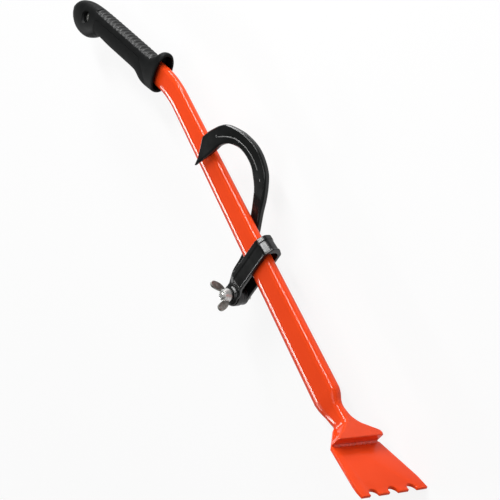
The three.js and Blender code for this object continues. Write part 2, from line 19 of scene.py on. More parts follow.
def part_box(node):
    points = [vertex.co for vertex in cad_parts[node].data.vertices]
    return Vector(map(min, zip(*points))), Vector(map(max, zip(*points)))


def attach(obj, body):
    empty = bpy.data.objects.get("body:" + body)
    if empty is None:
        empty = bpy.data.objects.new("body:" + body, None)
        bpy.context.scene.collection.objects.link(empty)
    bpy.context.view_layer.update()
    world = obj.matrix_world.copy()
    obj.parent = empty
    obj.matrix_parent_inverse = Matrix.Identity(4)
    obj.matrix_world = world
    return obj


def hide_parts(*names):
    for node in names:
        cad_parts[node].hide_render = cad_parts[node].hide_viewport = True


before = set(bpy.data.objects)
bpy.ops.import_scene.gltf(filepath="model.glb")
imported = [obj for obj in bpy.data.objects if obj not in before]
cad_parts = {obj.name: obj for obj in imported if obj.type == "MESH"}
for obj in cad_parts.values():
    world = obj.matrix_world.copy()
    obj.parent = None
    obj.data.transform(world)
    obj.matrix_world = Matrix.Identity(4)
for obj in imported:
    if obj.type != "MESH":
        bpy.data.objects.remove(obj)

LOG = logging.getLogger("felling_lever")
Pair = tuple[float, float]
Path = list[Pair]
Point = tuple[float, float, float]
Colour = tuple[float, float, float]
Table = tuple[Pair, ...]
Socket = bpy.types.NodeSocket

MILLIMETRE = 0.001
# Noise of the finishes: values that the patches run between, and levels of detail.
PATCH_SPAN, GLOSS_SPAN = (0.35, 0.7), (0.3, 0.7)
PATCH_DETAIL, WAVE_DETAIL, GRAIN_DETAIL = 4.0, 2.0, 3.0
# Mesh tools: distances in millimetres, and numbers of pieces.
ON_AXIS, SAME_CORNER = 0.001, 1e-5
CURVE_PIECES, BEVEL_PIECES, SMOOTHING = 4, 3, 0.5
BEAD_SIDES, POINTS_PER_RIPPLE, DRIFT_SCALE = 16, 8, 0.6


class Body(Enum):
    """Rigid bodies of the lever."""

    LEVER = "lever"
    CLAMP = "clamp"
    HOOK = "hook"
    NUT = "nut"


class Slot(Enum):
    """Material slots of the record."""

    ORANGE_PAINT = "orange_paint"
    GRIP_PLASTIC = "grip_plastic"
    GRIP_SOFT = "grip_soft"
    BLACK_COAT = "black_coat"
    ZINC_PLATE = "zinc_plate"


class Cut(Enum):
    """What a cutter does to the mesh that it meets."""

    AWAY = "DIFFERENCE"
    KEEP = "INTERSECT"
    JOIN = "UNION"


# ---------------------------------------------------------------- shared sizes


@dataclass(frozen=True)
class TubeSizes:
    """Sizes of the flat tube that the other pieces line up with."""

    neck_joint_x: float = -124.0
    visible_end_x: float = -122.4
    bend_start_x: float = -532.0
    bend_radius: float = 150.0
    droop: float = math.radians(19.5)
    height_at_neck: float = 34.3
    height_at_bend: float = 25.9
    thickness_at_neck: float = 13.9
    shown_height_at_neck: float = 37.2
    upper_edge: Table = ((12, 4.0), (41, 6.7), (41, 1.4), (90, 4.8))
    lower_edge: Table = ((10, 3.0), (10, 4.0), (34, 12.0), (90, 4.9))
    length_in_grip: float = 148.0
    weld_width: float = 4.0
    blade_tip_y: float = 24.0
    blade_tilt: float = math.radians(17.3)

    def girth(self, x: float) -> float:
        """Gives the section's size at a place along the tube.

        Args:
            x: Place along the tube, in millimetres.

        Returns:
            The size, as a share of the size at the neck.
        """
        taper = self.height_at_bend / self.height_at_neck
        share = (x - self.bend_start_x) / (self.neck_joint_x - self.bend_start_x)
        return taper + (1 - taper) * min(max(share, 0.0), 1.0)

    def bend_point(self, turn: float) -> Vector:
        """Gives the tube's axis inside the bend, at an angle in radians from its start."""
        along = self.bend_start_x - self.bend_radius * math.sin(turn)
        return Vector((along, -self.bend_radius * (1 - math.cos(turn)), 0.0))


@dataclass(frozen=True)
class LoopSizes:
    """Sizes of the loop that the hook, the bolt and the nut line up with."""

    x: float = -295.7
    yaw: float = math.radians(3.0)
    tilt: float = math.radians(4.0)
    band_width: float = 21.6
    band_thickness: float = 3.4
    inner_half_width: float = 8.0
    inner_top: float = 22.4
    inner_corner: float = 6.6
    crown_thickness: float = 5.6
    crown_edge: Table = ((42, 5.2), (42, 5.6), (54, 13.0), (90, 4.3))
    lug_plate: float = 2.0
    lug_cone_radius: float = 11.2
    rim_width: float = 1.8
    grip_side_rim_width: float = 5.6
    rim_height: float = 0.6
    bolt_drop: float = 56.2
    lug_radius: float = 11.6
    lug_inner_face: float = 4.3
    leg_bend_top: float = 36.0
    leg_bend_foot: float = 45.0
    boss_radius: float = 9.2
    boss_height: float = 0.6

    @property
    def near_lug_face(self) -> float:
        """Height of the near lug's outer face along the bolt."""
        return self.lug_inner_face + self.band_thickness

    @property
    def far_lug_face(self) -> float:
        """Height of the far lug's outer face along the bolt."""
        return -self.inner_half_width - self.band_thickness


@dataclass(frozen=True)
class BoltSizes:
    """Sizes of the bolt, its washers and the wing nut."""

    radius: float = 4.0
    gap: float = 0.3
    head_radius: float = 7.5
    head_height: float = 5.3
    overhang: float = 2.0
    thread_pitch: float = 1.25
    washer_radius: float = 8.0
    washer_thickness: float = 1.1
    hub_radius: float = 7.6
    hub_top_radius: float = 5.8
    hub_height: float = 7.8
    wing_turn: float = math.radians(163.0)


TUBE = TubeSizes()
LOOP = LoopSizes()
BOLT = BoltSizes()
NUT_WASHER_BOTTOM = LOOP.near_lug_face + LOOP.boss_height + BOLT.gap
NUT_BOTTOM = NUT_WASHER_BOTTOM + BOLT.washer_thickness + BOLT.gap
HEAD_WASHER_TOP = LOOP.far_lug_face - LOOP.boss_height - BOLT.gap
HEAD_TOP = HEAD_WASHER_TOP - BOLT.washer_thickness - BOLT.gap
BOLT_END = NUT_BOTTOM + BOLT.hub_height + BOLT.overhang


def tube_frame() -> Matrix:
    """Gives the tube's frame in the row frame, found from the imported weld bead.

    Returns:
        The matrix from the tube's millimetres to the row frame's metres.
    """
    low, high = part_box("neck_weld_bead")
    bead_start = (TUBE.neck_joint_x - TUBE.weld_width / 2) * MILLIMETRE
    origin = Vector((low.x - bead_start, (low.y + high.y) / 2, (low.z + high.z) / 2))
    return Matrix.Translation(origin) @ Matrix.Scale(MILLIMETRE, 4)


def turned(angle: float, axis: str) -> Matrix:
    """Gives a turn about an axis as a 4 by 4 matrix."""
    return Matrix.Rotation(angle, 4, axis)


IN_TUBE = tube_frame()
IN_BLADE = IN_TUBE @ Matrix.Translation((0, TUBE.blade_tip_y, 0)) @ turned(TUBE.blade_tilt, "Z")
IN_GRIP = IN_TUBE @ Matrix.Translation(TUBE.bend_point(TUBE.droop)) @ turned(TUBE.droop, "Z")
IN_LOOP = IN_TUBE @ Matrix.Translation((LOOP.x, 0, 0)) @ turned(LOOP.yaw, "Y") @ turned(LOOP.tilt, "Z")
IN_BOLT = IN_LOOP @ Matrix.Translation((0, -LOOP.bolt_drop, 0))
IN_NUT = IN_BOLT @ Matrix.Translation((0, 0, NUT_BOTTOM)) @ turned(BOLT.wing_turn, "Z")


# ---------------------------------------------------------------- nodes and finishes


class NodeSet:
    """Nodes of one tree, each made and linked in one call."""

    def __init__(self, tree: bpy.types.NodeTree) -> None:
        """Takes the tree that the nodes go into."""
        self.tree = tree

    @classmethod
    def of_material(cls, name: str) -> "NodeSet":
        """Starts a material with an empty tree."""
        material = bpy.data.materials.new(name)
        material.use_nodes = True
        material.node_tree.nodes.clear()
        return cls(material.node_tree)

    def node(self, kind: str, inputs: dict[str | int, object] | None = None, **settings: object) -> bpy.types.Node:
        """Adds a node.

        Args:
            kind: Blender's name of the node.
            inputs: Sockets to link from, or values, by the input's name or number.
            settings: Properties of the node.

        Returns:
            The node.
        """
        made = self.tree.nodes.new(kind)
        for name, value in settings.items():
            setattr(made, name, value)
        for key, value in (inputs or {}).items():
            if isinstance(value, Socket):
                self.tree.links.new(value, made.inputs[key])
            else:
                made.inputs[key].default_value = value
        return made

    def math(self, operation: str, *values: object) -> Socket:
        """Adds a sum, product or other operation on numbers."""
        return self.node("ShaderNodeMath", dict(enumerate(values)), operation=operation).outputs[0]

    def spread(self, value: Socket, span: Pair, to: Pair = (0.0, 1.0), **settings: object) -> Socket:
        """Stretches a value from one span to another, which is 0 to 1 unless said."""
        ends = {"From Min": span[0], "From Max": span[1], "To Min": to[0], "To Max": to[1]}
        return self.node("ShaderNodeMapRange", {"Value": value, **ends}, **settings).outputs["Result"]

    def surface(self, kind: str, inputs: dict[str | int, object]) -> None:
        """Ends a material's tree with its shader."""
        shader = self.node(kind, inputs).outputs[0]
        self.node("ShaderNodeOutputMaterial", {"Surface": shader})


@dataclass(frozen=True)
class Finish:
    """A procedural surface that varies in colour, gloss and relief over the piece.

    Attributes:
        name: The material's name.
        colour: Main colour, linear.
        shade: Colour of the patches, linear.
        patch_scale: Patches per metre.
        gloss: Lowest and highest roughness.
        grain_scale: Fine bumps per metre.
        grain_height: Height of the fine bumps, in millimetres.
        wave_scale: Slow waves per metre.
        wave_height: Height of the slow waves, in millimetres.
        metallic: How far the surface is bare metal.
        specular: Strength of the plain reflection.
        coat: Weight of the clear top layer.
        coat_roughness: Roughness of the clear top layer.
    """

    name: str
    colour: Colour
    shade: Colour
    patch_scale: float
    gloss: Pair
    grain_scale: float
    grain_height: float
    wave_scale: float
    wave_height: float
    metallic: float = 0.0
    specular: float = 0.5
    coat: float = 0.0
    coat_roughness: float = 0.1

    def material(self) -> bpy.types.Material:
        """Builds the material, or gives it back if it has been built.

        Returns:
            The node material of this finish.
        """
        if self.name in bpy.data.materials:
            return bpy.data.materials[self.name]
        made = NodeSet.of_material(self.name)
        patches = self.noise(made, self.patch_scale, PATCH_DETAIL)
        tint = made.node("ShaderNodeMix", {
            "Factor": made.spread(patches, PATCH_SPAN), "A": (*self.colour, 1.0),
            "B": (*self.shade, 1.0),
        }, data_type="RGBA")
        waves = made.node("ShaderNodeBump", {
            "Strength": 1.0, "Distance": self.wave_height * MILLIMETRE,
            "Height": self.noise(made, self.wave_scale, WAVE_DETAIL),
        })
        grain = made.node("ShaderNodeBump", {
            "Strength": 1.0, "Distance": self.grain_height * MILLIMETRE,
            "Height": self.noise(made, self.grain_scale, GRAIN_DETAIL), "Normal": waves.outputs["Normal"],
        })
        made.surface("ShaderNodeBsdfPrincipled", {
            "Base Color": tint.outputs["Result"], "Roughness": made.spread(patches, GLOSS_SPAN, self.gloss),
            "Normal": grain.outputs["Normal"], "Metallic": self.metallic, "Specular IOR Level": self.specular,
            "Coat Weight": self.coat, "Coat Roughness": self.coat_roughness,
        })
        return bpy.data.materials[self.name]

    @staticmethod
    def noise(made: NodeSet, scale: float, detail: float) -> Socket:
        """Adds a noise on the piece's own coordinates, with so many features per metre."""
        place = made.node("ShaderNodeTexCoord").outputs["Object"]
        return made.node("ShaderNodeTexNoise", {"Vector": place, "Scale": scale, "Detail": detail}).outputs["Fac"]


PAINT = Finish(
    "gloss_orange_paint", (0.80, 0.062, 0.011), (0.77, 0.056, 0.009), 30.0, (0.16, 0.22),
    420.0, 0.002, 60.0, 0.004, specular=0.06, coat=0.29, coat_roughness=0.07,
)
BLADE_PAINT = Finish(
    "satin_orange_paint_on_blade", (0.80, 0.062, 0.011), (0.77, 0.056, 0.009), 30.0, (0.3, 0.38),
    420.0, 0.004, 60.0, 0.006, specular=0.03, coat=0.13, coat_roughness=0.12,
)
PAINTED_WELD = Finish(
    "orange_paint_on_weld", (0.82, 0.085, 0.04), (0.56, 0.07, 0.04), 320.0, (0.3, 0.5),
    900.0, 0.08, 300.0, 0.2, specular=0.3, coat=0.2, coat_roughness=0.2,
)
PLASTIC = Finish(
    "satin_black_plastic", (0.0032, 0.0037, 0.0037), (0.005, 0.0056, 0.0056), 60.0, (0.5, 0.6),
    2600.0, 0.02, 120.0, 0.04, specular=0.11,
)
SOFT_PLASTIC = Finish(
    "matt_black_soft_plastic", (0.003, 0.0035, 0.0035), (0.0048, 0.0054, 0.0054), 80.0, (0.62, 0.72),
    2200.0, 0.04, 150.0, 0.05, specular=0.09,
)
# Lighter black with a stronger reflection for the ribbed back on top of the grip: a painted sheen where the lamps
# catch the ribs.
RIB_SHEEN_PLASTIC = Finish(
    "black_plastic_with_painted_sheen_on_ribs", (0.0045, 0.005, 0.005), (0.0075, 0.008, 0.008), 90.0, (0.46, 0.55),
    2600.0, 0.008, 120.0, 0.03, specular=0.38,
)
# Light grey on the black coat for the hook's raised line and a spot on the near lug's cone: a painted highlight.
HIGHLIGHT_GREY_COAT = Finish(
    "black_coat_with_painted_highlight", (0.17, 0.172, 0.17), (0.09, 0.092, 0.09), 180.0, (0.25, 0.4),
    1500.0, 0.02, 300.0, 0.05, specular=0.5,
)
COAT = Finish(
    "satin_black_coat_on_forged_steel", (0.0035, 0.004, 0.004), (0.0058, 0.0064, 0.0064), 70.0,
    (0.2, 0.28), 1500.0, 0.012, 130.0, 0.05, specular=0.42,
)
ZINC = Finish(
    "bright_zinc_plate", (0.6, 0.61, 0.6), (0.42, 0.41, 0.38), 160.0, (0.22, 0.36),
    1800.0, 0.012, 220.0, 0.05, metallic=0.9,
)
# Nearly black zinc for the washer between the wing nut and the lug: painted shade.
ZINC_IN_PAINTED_SHADE = Finish(
    "zinc_plate_with_painted_shade", (0.03, 0.03, 0.028), (0.015, 0.015, 0.014), 300.0, (0.4, 0.55),
    1800.0, 0.02, 220.0, 0.05, metallic=0.4,
)
ZINC_HUB = Finish(
    "bright_zinc_plate_on_hub", (0.72, 0.73, 0.72), (0.5, 0.5, 0.48), 420.0, (0.2, 0.34),
    1600.0, 0.03, 420.0, 0.12, metallic=0.55,
)
ZINC_CAST = Finish(
    "zinc_plate_on_cast_wings", (0.4, 0.4, 0.38), (0.19, 0.18, 0.16), 240.0, (0.3, 0.5),
    1400.0, 0.05, 260.0, 0.15, metallic=0.85,
)


# ---------------------------------------------------------------- mesh tools


def value_at(pairs: Table, place: float) -> float:
    """Reads a smooth curve through pairs of place and value.

    Args:
        pairs: Places in rising order, with their values.
        place: Where the curve is read.

    Returns:
        The value there.
    """
    last = len(pairs) - 1
    if place <= pairs[0][0]:
        return pairs[0][1]
    if place >= pairs[last][0]:
        return pairs[last][1]
    i = next(k for k, pair in enumerate(pairs) if pair[0] > place) - 1

    def slope(k: int) -> float:
        """Gives the curve's slope at a pair."""
        before, after = pairs[max(k - 1, 0)], pairs[min(k + 1, last)]
        return (after[1] - before[1]) / (after[0] - before[0])

    span = pairs[i + 1][0] - pairs[i][0]
    rise = pairs[i + 1][1] - pairs[i][1]
    t = (place - pairs[i][0]) / span
    bulge = (1 - t) * (slope(i) * span - rise) + t * (rise - slope(i + 1) * span)
    return pairs[i][1] + rise * t + t * (1 - t) * bulge


def arc(centre: Pair, radius: float, start: float, end: float, steps: int) -> Path:
    """Gives the points of a flat arc from one angle in degrees to another, both ends included."""
    turns = [math.radians(start + (end - start) * k / steps) for k in range(steps + 1)]
    return [(centre[0] + radius * math.cos(a), centre[1] + radius * math.sin(a)) for a in turns]


def curve(start: Pair, handle: Pair, end: Pair, steps: int = 10) -> Path:
    """Gives the points of a curve with one handle, without its first point.

    Args:
        start: Where the curve starts.
        handle: Point that pulls it.
        end: Where it ends.
        steps: Number of pieces.

    Returns:
        The points.
    """
    points = []
    for t in (k / steps for k in range(1, steps + 1)):
        a, b, c = (1 - t) ** 2, 2 * t * (1 - t), t * t
        points.append(tuple(a * p + b * q + c * r for p, q, r in zip(start, handle, end)))
    return points


def rectangle(left: float, low: float, right: float, high: float) -> Path:
    """Gives the four corners of a rectangle."""
    return [(left, low), (right, low), (right, high), (left, high)]


def round_corner(radius: float, steps: int) -> Path:
    """Gives a round corner as distances from the corner of its box, from the Y side to the Z side."""
    turns = [math.pi / 2 * k / steps for k in range(steps + 1)]
    return [(radius * (1 - math.cos(a)), radius * (1 - math.sin(a))) for a in turns]


def rolled_corner(parts: Table) -> Path:
    """Gives a corner that is rolled from curves and narrow flats.

    Args:
        parts: Angle that the surface has reached at the end of each part, from the Z side, in degrees,
            with the radius of a curve, or with the length of a flat where the angle stays the same.

    Returns:
        Distances from the corner of the box, from the Y side to the Z side.
    """
    y, z, start = 0.0, 0.0, 0.0
    points = [(y, z)]
    for end, size in parts:
        if end == start:
            y += size * math.cos(math.radians(end))
            z += size * math.sin(math.radians(end))
            points.append((y, z))
            continue
        for k in range(CURVE_PIECES):
            before, after = [math.radians(start + (end - start) * n / CURVE_PIECES) for n in (k, k + 1)]
            y += size * (math.sin(after) - math.sin(before))
            z += size * (math.cos(before) - math.cos(after))
            points.append((y, z))
        start = end
    return [(points[-1][0] - y, z) for y, z in reversed(points)]


def cornered_ring(x: float, low: float, high: float, far: float, near: float,
                  upper: Path, lower: Path) -> list[Point]:
    """Gives one ring of a rectangle with soft corners that stands across X.

    Args:
        x: Place of the ring.
        low: Lowest Y.
        high: Highest Y.
        far: Lowest Z.
        near: Highest Z.
        upper: Points of the upper corners, as distances from the corner of the box.
        lower: Points of the lower corners.

    Returns:
        The ring's points.
    """
    ring = []
    for y, z, flip in ((high, near, False), (low, near, True), (low, far, False), (high, far, True)):
        corner = upper if y == high else lower
        side_y = math.copysign(1.0, y - (low + high) / 2)
        side_z = math.copysign(1.0, z - (far + near) / 2)
        for in_y, in_z in (corner[::-1] if flip else corner):
            ring.append((x, y - side_y * in_y, z - side_z * in_z))
    return ring


class Shape:
    """A mesh object that is drawn in millimetres in a frame of its own."""

    def __init__(self, name: str, mesh: bpy.types.Mesh) -> None:
        """Puts a mesh into the scene as a named object."""
        self.object = bpy.data.objects.new(name, mesh)
        bpy.context.scene.collection.objects.link(self.object)

    @classmethod
    def solid(cls, name: str, points: list[Point], faces: list[tuple[int, ...]]) -> "Shape":
        """Makes a shape from its corners and faces, and turns the faces outwards.

        Args:
            name: Name of the piece.
            points: Corners, in millimetres.
            faces: Corner numbers of each face.

        Returns:
            The new shape.
        """
        mesh = bpy.data.meshes.new(name)
        mesh.from_pydata([tuple(p) for p in points], [], faces)
        return cls(name, mesh).face_outwards()

    @classmethod
    def skin(cls, name: str, rings: list[list[Point]]) -> "Shape":
        """Makes a closed skin over a row of rings with equally many points.

        Args:
            name: Name of the piece.
            rings: The rings, in order.

        Returns:
            The new shape.
        """
        count = len(rings[0])
        points = [p for ring in rings for p in ring]
        faces = []
        for i in range(len(rings) - 1):
            for j in range(count):
                a, b = i * count + j, i * count + (j + 1) % count
                faces.append((a, b, b + count, a + count))
        for ring, start in ((rings[0], 0), (rings[-1], (len(rings) - 1) * count)):
            points.append(tuple(np.mean(np.array(ring), axis=0)))
            hub = len(points) - 1
            for j in range(count):
                a, b = start + j, start + (j + 1) % count
                faces.append((hub, b, a) if start == 0 else (hub, a, b))
        return cls.solid(name, points, faces)

    @classmethod
    def slab(cls, name: str, outline: Path, low: float, high: float,
             turn: Matrix | None = None) -> "Shape":
        """Makes a flat plate with the given outline.

        Args:
            name: Name of the piece.
            outline: The outline's points in X and Y.
            low: Lowest Z.
            high: Highest Z.
            turn: Turn that the plate gets, if it doesn't lie flat.

        Returns:
            The new shape.
        """
        count = len(outline)
        points = [(x, y, low) for x, y in outline] + [(x, y, high) for x, y in outline]
        faces = [tuple(range(count - 1, -1, -1)), tuple(range(count, 2 * count))]
        faces += [(j, (j + 1) % count, (j + 1) % count + count, j + count) for j in range(count)]
        if turn is not None:
            points = [tuple(turn @ Vector(p)) for p in points]
        return cls.solid(name, points, faces)

    @classmethod
    def lathe(cls, name: str, profile: Path, steps: int = 96) -> "Shape":
        """Makes a solid of revolution about Z.

        Args:
            name: Name of the piece.
            profile: Radius and height of each corner, as a closed outline or from axis to axis.
            steps: Number of faces round the axis.

        Returns:
            The new shape.
        """
        closed = profile[0][0] > ON_AXIS
        points, faces, rows = [], [], []
        for radius, height in profile:
            if radius <= ON_AXIS:
                rows.append([len(points)] * steps)
                points.append((0.0, 0.0, height))
            else:
                rows.append(list(range(len(points), len(points) + steps)))
                turns = [2 * math.pi * k / steps for k in range(steps)]
                points += [(radius * math.cos(a), radius * math.sin(a), height) for a in turns]
        pairs = list(zip(rows, rows[1:] + rows[:1])) if closed else list(zip(rows, rows[1:]))
        for lower, upper in pairs:
            for k in range(steps):
                n = (k + 1) % steps
                face = list(dict.fromkeys((lower[k], lower[n], upper[n], upper[k])))
                if len(face) > 2:
                    faces.append(tuple(face))
        return cls.solid(name, points, faces)

    @classmethod
    def post(cls, name: str, radius: float, low: float, high: float, top_radius: float | None = None) -> "Shape":
        """Makes a round post, or a cone if its top has a radius of its own."""
        top = radius if top_radius is None else top_radius
        return cls.lathe(name, [(0, low), (radius, low), (top, high), (0, high)])

    def face_outwards(self) -> "Shape":
        """Merges doubled corners and points all faces outwards."""
        work = bmesh.new()
        work.from_mesh(self.object.data)
        bmesh.ops.remove_doubles(work, verts=work.verts, dist=SAME_CORNER)
        bmesh.ops.recalc_face_normals(work, faces=work.faces)
        work.to_mesh(self.object.data)
        work.free()
        return self

    def moved(self, place: Matrix) -> "Shape":
        """Moves the shape within its frame."""
        self.object.data.transform(place)
        return self

    def settle(self) -> "Shape":
        """Turns what the modifiers show into the object's plain mesh."""
        graph = bpy.context.evaluated_depsgraph_get()
        made = bpy.data.meshes.new_from_object(self.object.evaluated_get(graph), depsgraph=graph)
        made.name = self.object.name
        self.object.modifiers.clear()
        self.object.data = made
        return self

    def modified(self, kind: str, **settings: object) -> "Shape":
        """Adds a modifier and applies it.

        Args:
            kind: Blender's name of the modifier.
            settings: Values of the modifier.

        Returns:
            This shape.
        """
        modifier = self.object.modifiers.new(kind.lower(), kind)
        for name, value in settings.items():
            setattr(modifier, name, value)
        return self.settle()

    def cut(self, how: Cut, *tools: "Shape", solver: str = "MANIFOLD") -> "Shape":
        """Cuts, keeps or joins with other shapes, which are used up.

        Args:
            how: What the tools do.
            tools: The other shapes.
            solver: Blender's name of the way that it is worked out.

        Returns:
            This shape.
        """
        for tool in tools:
            self.modified("BOOLEAN", operation=how.value, object=tool.object, solver=solver)
            bpy.data.objects.remove(tool.object)
        return self

    def add(self, *others: "Shape") -> "Shape":
        """Takes the faces of other shapes into this one, without joining the solids."""
        work = bmesh.new()
        work.from_mesh(self.object.data)
        for other in others:
            work.from_mesh(other.object.data)
            bpy.data.objects.remove(other.object)
        work.to_mesh(self.object.data)
        work.free()
        return self

    def copy(self, name: str) -> "Shape":
        """Gives a second shape with the same faces."""
        return Shape(name, self.object.data.copy())

    def forged(self, voxel: float, rounds: int) -> "Shape":
        """Melts the faces into one skin of small faces, which is smoothed in rounds, as on a casting."""
        self.modified("REMESH", mode="VOXEL", voxel_size=voxel)
        return self.modified("SMOOTH", factor=SMOOTHING, iterations=rounds)

    def bevelled(self, width: float, angle: float = 35.0) -> "Shape":
        """Rounds the edges that are sharper than an angle in degrees."""
        limit = {"limit_method": "ANGLE", "angle_limit": math.radians(angle)}
        return self.modified("BEVEL", width=width, segments=BEVEL_PIECES, harden_normals=False, **limit)

    def finish(self, place: Matrix, body: Body, slot: Slot, look: Finish, nodes: tuple[str, ...] = (),
               sharp: float = 40.0) -> bpy.types.Object:
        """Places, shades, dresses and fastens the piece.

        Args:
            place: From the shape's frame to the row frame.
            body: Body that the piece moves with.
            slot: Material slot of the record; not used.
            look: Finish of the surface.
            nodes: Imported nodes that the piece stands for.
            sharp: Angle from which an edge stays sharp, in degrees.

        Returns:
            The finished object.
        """
        piece = self.object
        piece.data.transform(place)
        piece.data.shade_smooth()
        piece.data.set_sharp_from_angle(angle=math.radians(sharp))
        piece.data.materials.clear()
        piece.data.materials.append(look.material())
        for polygon in piece.data.polygons:
            polygon.material_index = 0
        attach(piece, body.value)
        if nodes:
            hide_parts(*nodes)
        LOG.info("%s: %d faces on body %s", piece.name, len(piece.data.polygons), body.value)
        return piece


def dress_part(piece: bpy.types.Object, look: Finish, place: Matrix, inside: Callable[[Vector], bool]) -> None:
    """Gives some faces of a finished piece a finish of their own.

    Args:
        piece: The finished piece.
        look: Finish of these faces.
        place: From the piece's frame to the row frame.
        inside: Tells whether a point of the piece's frame belongs to these faces.
    """
    piece.data.materials.append(look.material())
    back = place.inverted()
    for polygon in piece.data.polygons:
        if inside(back @ polygon.center):
            polygon.material_index = 1


# ---------------------------------------------------------------- geometry trees


class Tree(NodeSet):
    """A Geometry Nodes tree with named inputs, which ends in Realize Instances and Set Material."""

    def __init__(self, name: str) -> None:
        """Starts an empty tree with a name."""
        super().__init__(bpy.data.node_groups.new(name, "GeometryNodeTree"))
        self.tree.is_modifier = True
        for way in ("INPUT", "OUTPUT"):
            self.tree.interface.new_socket("Geometry", in_out=way, socket_type="NodeSocketGeometry")
        self.source = self.tree.nodes.new("NodeGroupInput")
        self.geometry = self.source.outputs["Geometry"]
        self.values: dict[str, float] = {}

    def number(self, name: str, value: float, whole: bool = False) -> Socket:
        """Adds a named input.

        Args:
            name: Name of the input.
            value: What the modifier gives it.
            whole: Whether it is a count.

        Returns:
            The socket to link from.
        """
        kind = "NodeSocketInt" if whole else "NodeSocketFloat"
        item = self.tree.interface.new_socket(name, in_out="INPUT", socket_type=kind)
        self.values[item.identifier] = int(value) if whole else float(value)
        return self.source.outputs[name]

    def attribute(self, name: str, kind: str) -> Socket:
        """Reads a named attribute of the points."""
        return self.node("GeometryNodeInputNamedAttribute", {"Name": name}, data_type=kind).outputs["Attribute"]

    def vector(self, **parts: object) -> Socket:
        """Joins X, Y and Z into a vector."""
        return self.node("ShaderNodeCombineXYZ", parts).outputs[0]

    def swept(self, curve: Socket, profile: Socket, **size: Socket) -> Socket:
        """Runs a profile along a curve and closes its ends."""
        inputs = {"Curve": curve, "Profile Curve": profile, "Fill Caps": True, **size}
        return self.node("GeometryNodeCurveToMesh", inputs).outputs["Mesh"]

    def apply(self, shape: Shape, geometry: Socket, look: Finish) -> Shape:
        """Ends the tree, runs it on a shape and keeps the result as a plain mesh.

        Args:
            shape: Shape that the tree works on.
            geometry: Last geometry of the tree.
            look: Finish that the tree sets.

        Returns:
            The shape, with the tree's result as its mesh.
        """
        solid = self.node("GeometryNodeRealizeInstances", {"Geometry": geometry}).outputs["Geometry"]
        dressed = self.node("GeometryNodeSetMaterial", {"Geometry": solid, "Material": look.material()})
        self.node("NodeGroupOutput", {0: dressed.outputs["Geometry"]})
        modifier = shape.object.modifiers.new(self.tree.name, "NODES")
        modifier.node_group = self.tree
        for identifier, value in self.values.items():
            modifier[identifier] = value
        return shape.settle()


def path_shape(name: str, points: list[Point], section: list[Point] | None = None) -> Shape:
    """Makes a row of edges for a tree to follow.

    Args:
        name: Name of the piece.
        points: Corners of the path.
        section: Ring that is run along the path, if the tree doesn't make its own.

    Returns:
        The shape, with edges and no faces.
    """
    ring = section or []
    start, count = len(points), len(ring)
    edges = [(k, k + 1) for k in range(start - 1)]
    edges += [(start + k, start + (k + 1) % count) for k in range(count)]
    mesh = bpy.data.meshes.new(name)
    mesh.from_pydata([tuple(p) for p in [*points, *ring]], edges, [])
    marks = mesh.attributes.new("section", "BOOLEAN", "POINT")
    marks.data.foreach_set("value", [False] * start + [True] * count)
    return Shape(name, mesh)


def bead_along(name: str, points: list[Point], radius: float, look: Finish, ripple: float = 0.0,
               pitch: float = 2.0, wander: float = 0.0, seed: float = 3.0) -> Shape:
    """Runs a round bead along a path, with the ripples of a weld if asked.

    Args:
        name: Name of the piece.
        points: Corners of the path.
        radius: Radius of the bead.
        look: Finish of the bead.
        ripple: Height of the ripples.
        pitch: Distance between ripples.
        wander: How far the radius drifts along the bead.
        seed: Seed of the drift.

    Returns:
        The bead.
    """
    tree = Tree(name + "_tree")
    thick, height = tree.number("Radius", radius), tree.number("Ripple", ripple)
    step, drift = tree.number("Pitch", pitch), tree.number("Wander", wander)
    start, sides = tree.number("Seed", seed), tree.number("Sides", BEAD_SIDES, whole=True)
    curve = tree.node("GeometryNodeMeshToCurve", {"Mesh": tree.geometry}).outputs["Curve"]
    length = pitch / POINTS_PER_RIPPLE
    fine = tree.node("GeometryNodeResampleCurve", {"Curve": curve, "Length": length}, mode="LENGTH")
    spot = tree.node("GeometryNodeSplineParameter").outputs["Length"]
    along = tree.math("DIVIDE", spot, step)
    wave = tree.math("ABSOLUTE", tree.math("SINE", tree.math("MULTIPLY", along, math.pi)))
    place = {"W": tree.math("ADD", along, start), "Scale": DRIFT_SCALE}
    noise = tree.node("ShaderNodeTexNoise", place, noise_dimensions="1D")
    uneven = tree.math("MULTIPLY", tree.math("SUBTRACT", noise.outputs[0], 0.5), drift)
    size = tree.math("ADD", tree.math("ADD", thick, tree.math("MULTIPLY", wave, height)), uneven)
    circle = tree.node("GeometryNodeCurvePrimitiveCircle", {"Resolution": sides, "Radius": 1.0}, mode="RADIUS")
    swept = tree.swept(fine.outputs[0], circle.outputs["Curve"], Scale=size)
    return tree.apply(path_shape(name, points), swept, look).face_outwards()


# ---------------------------------------------------------------- shaft


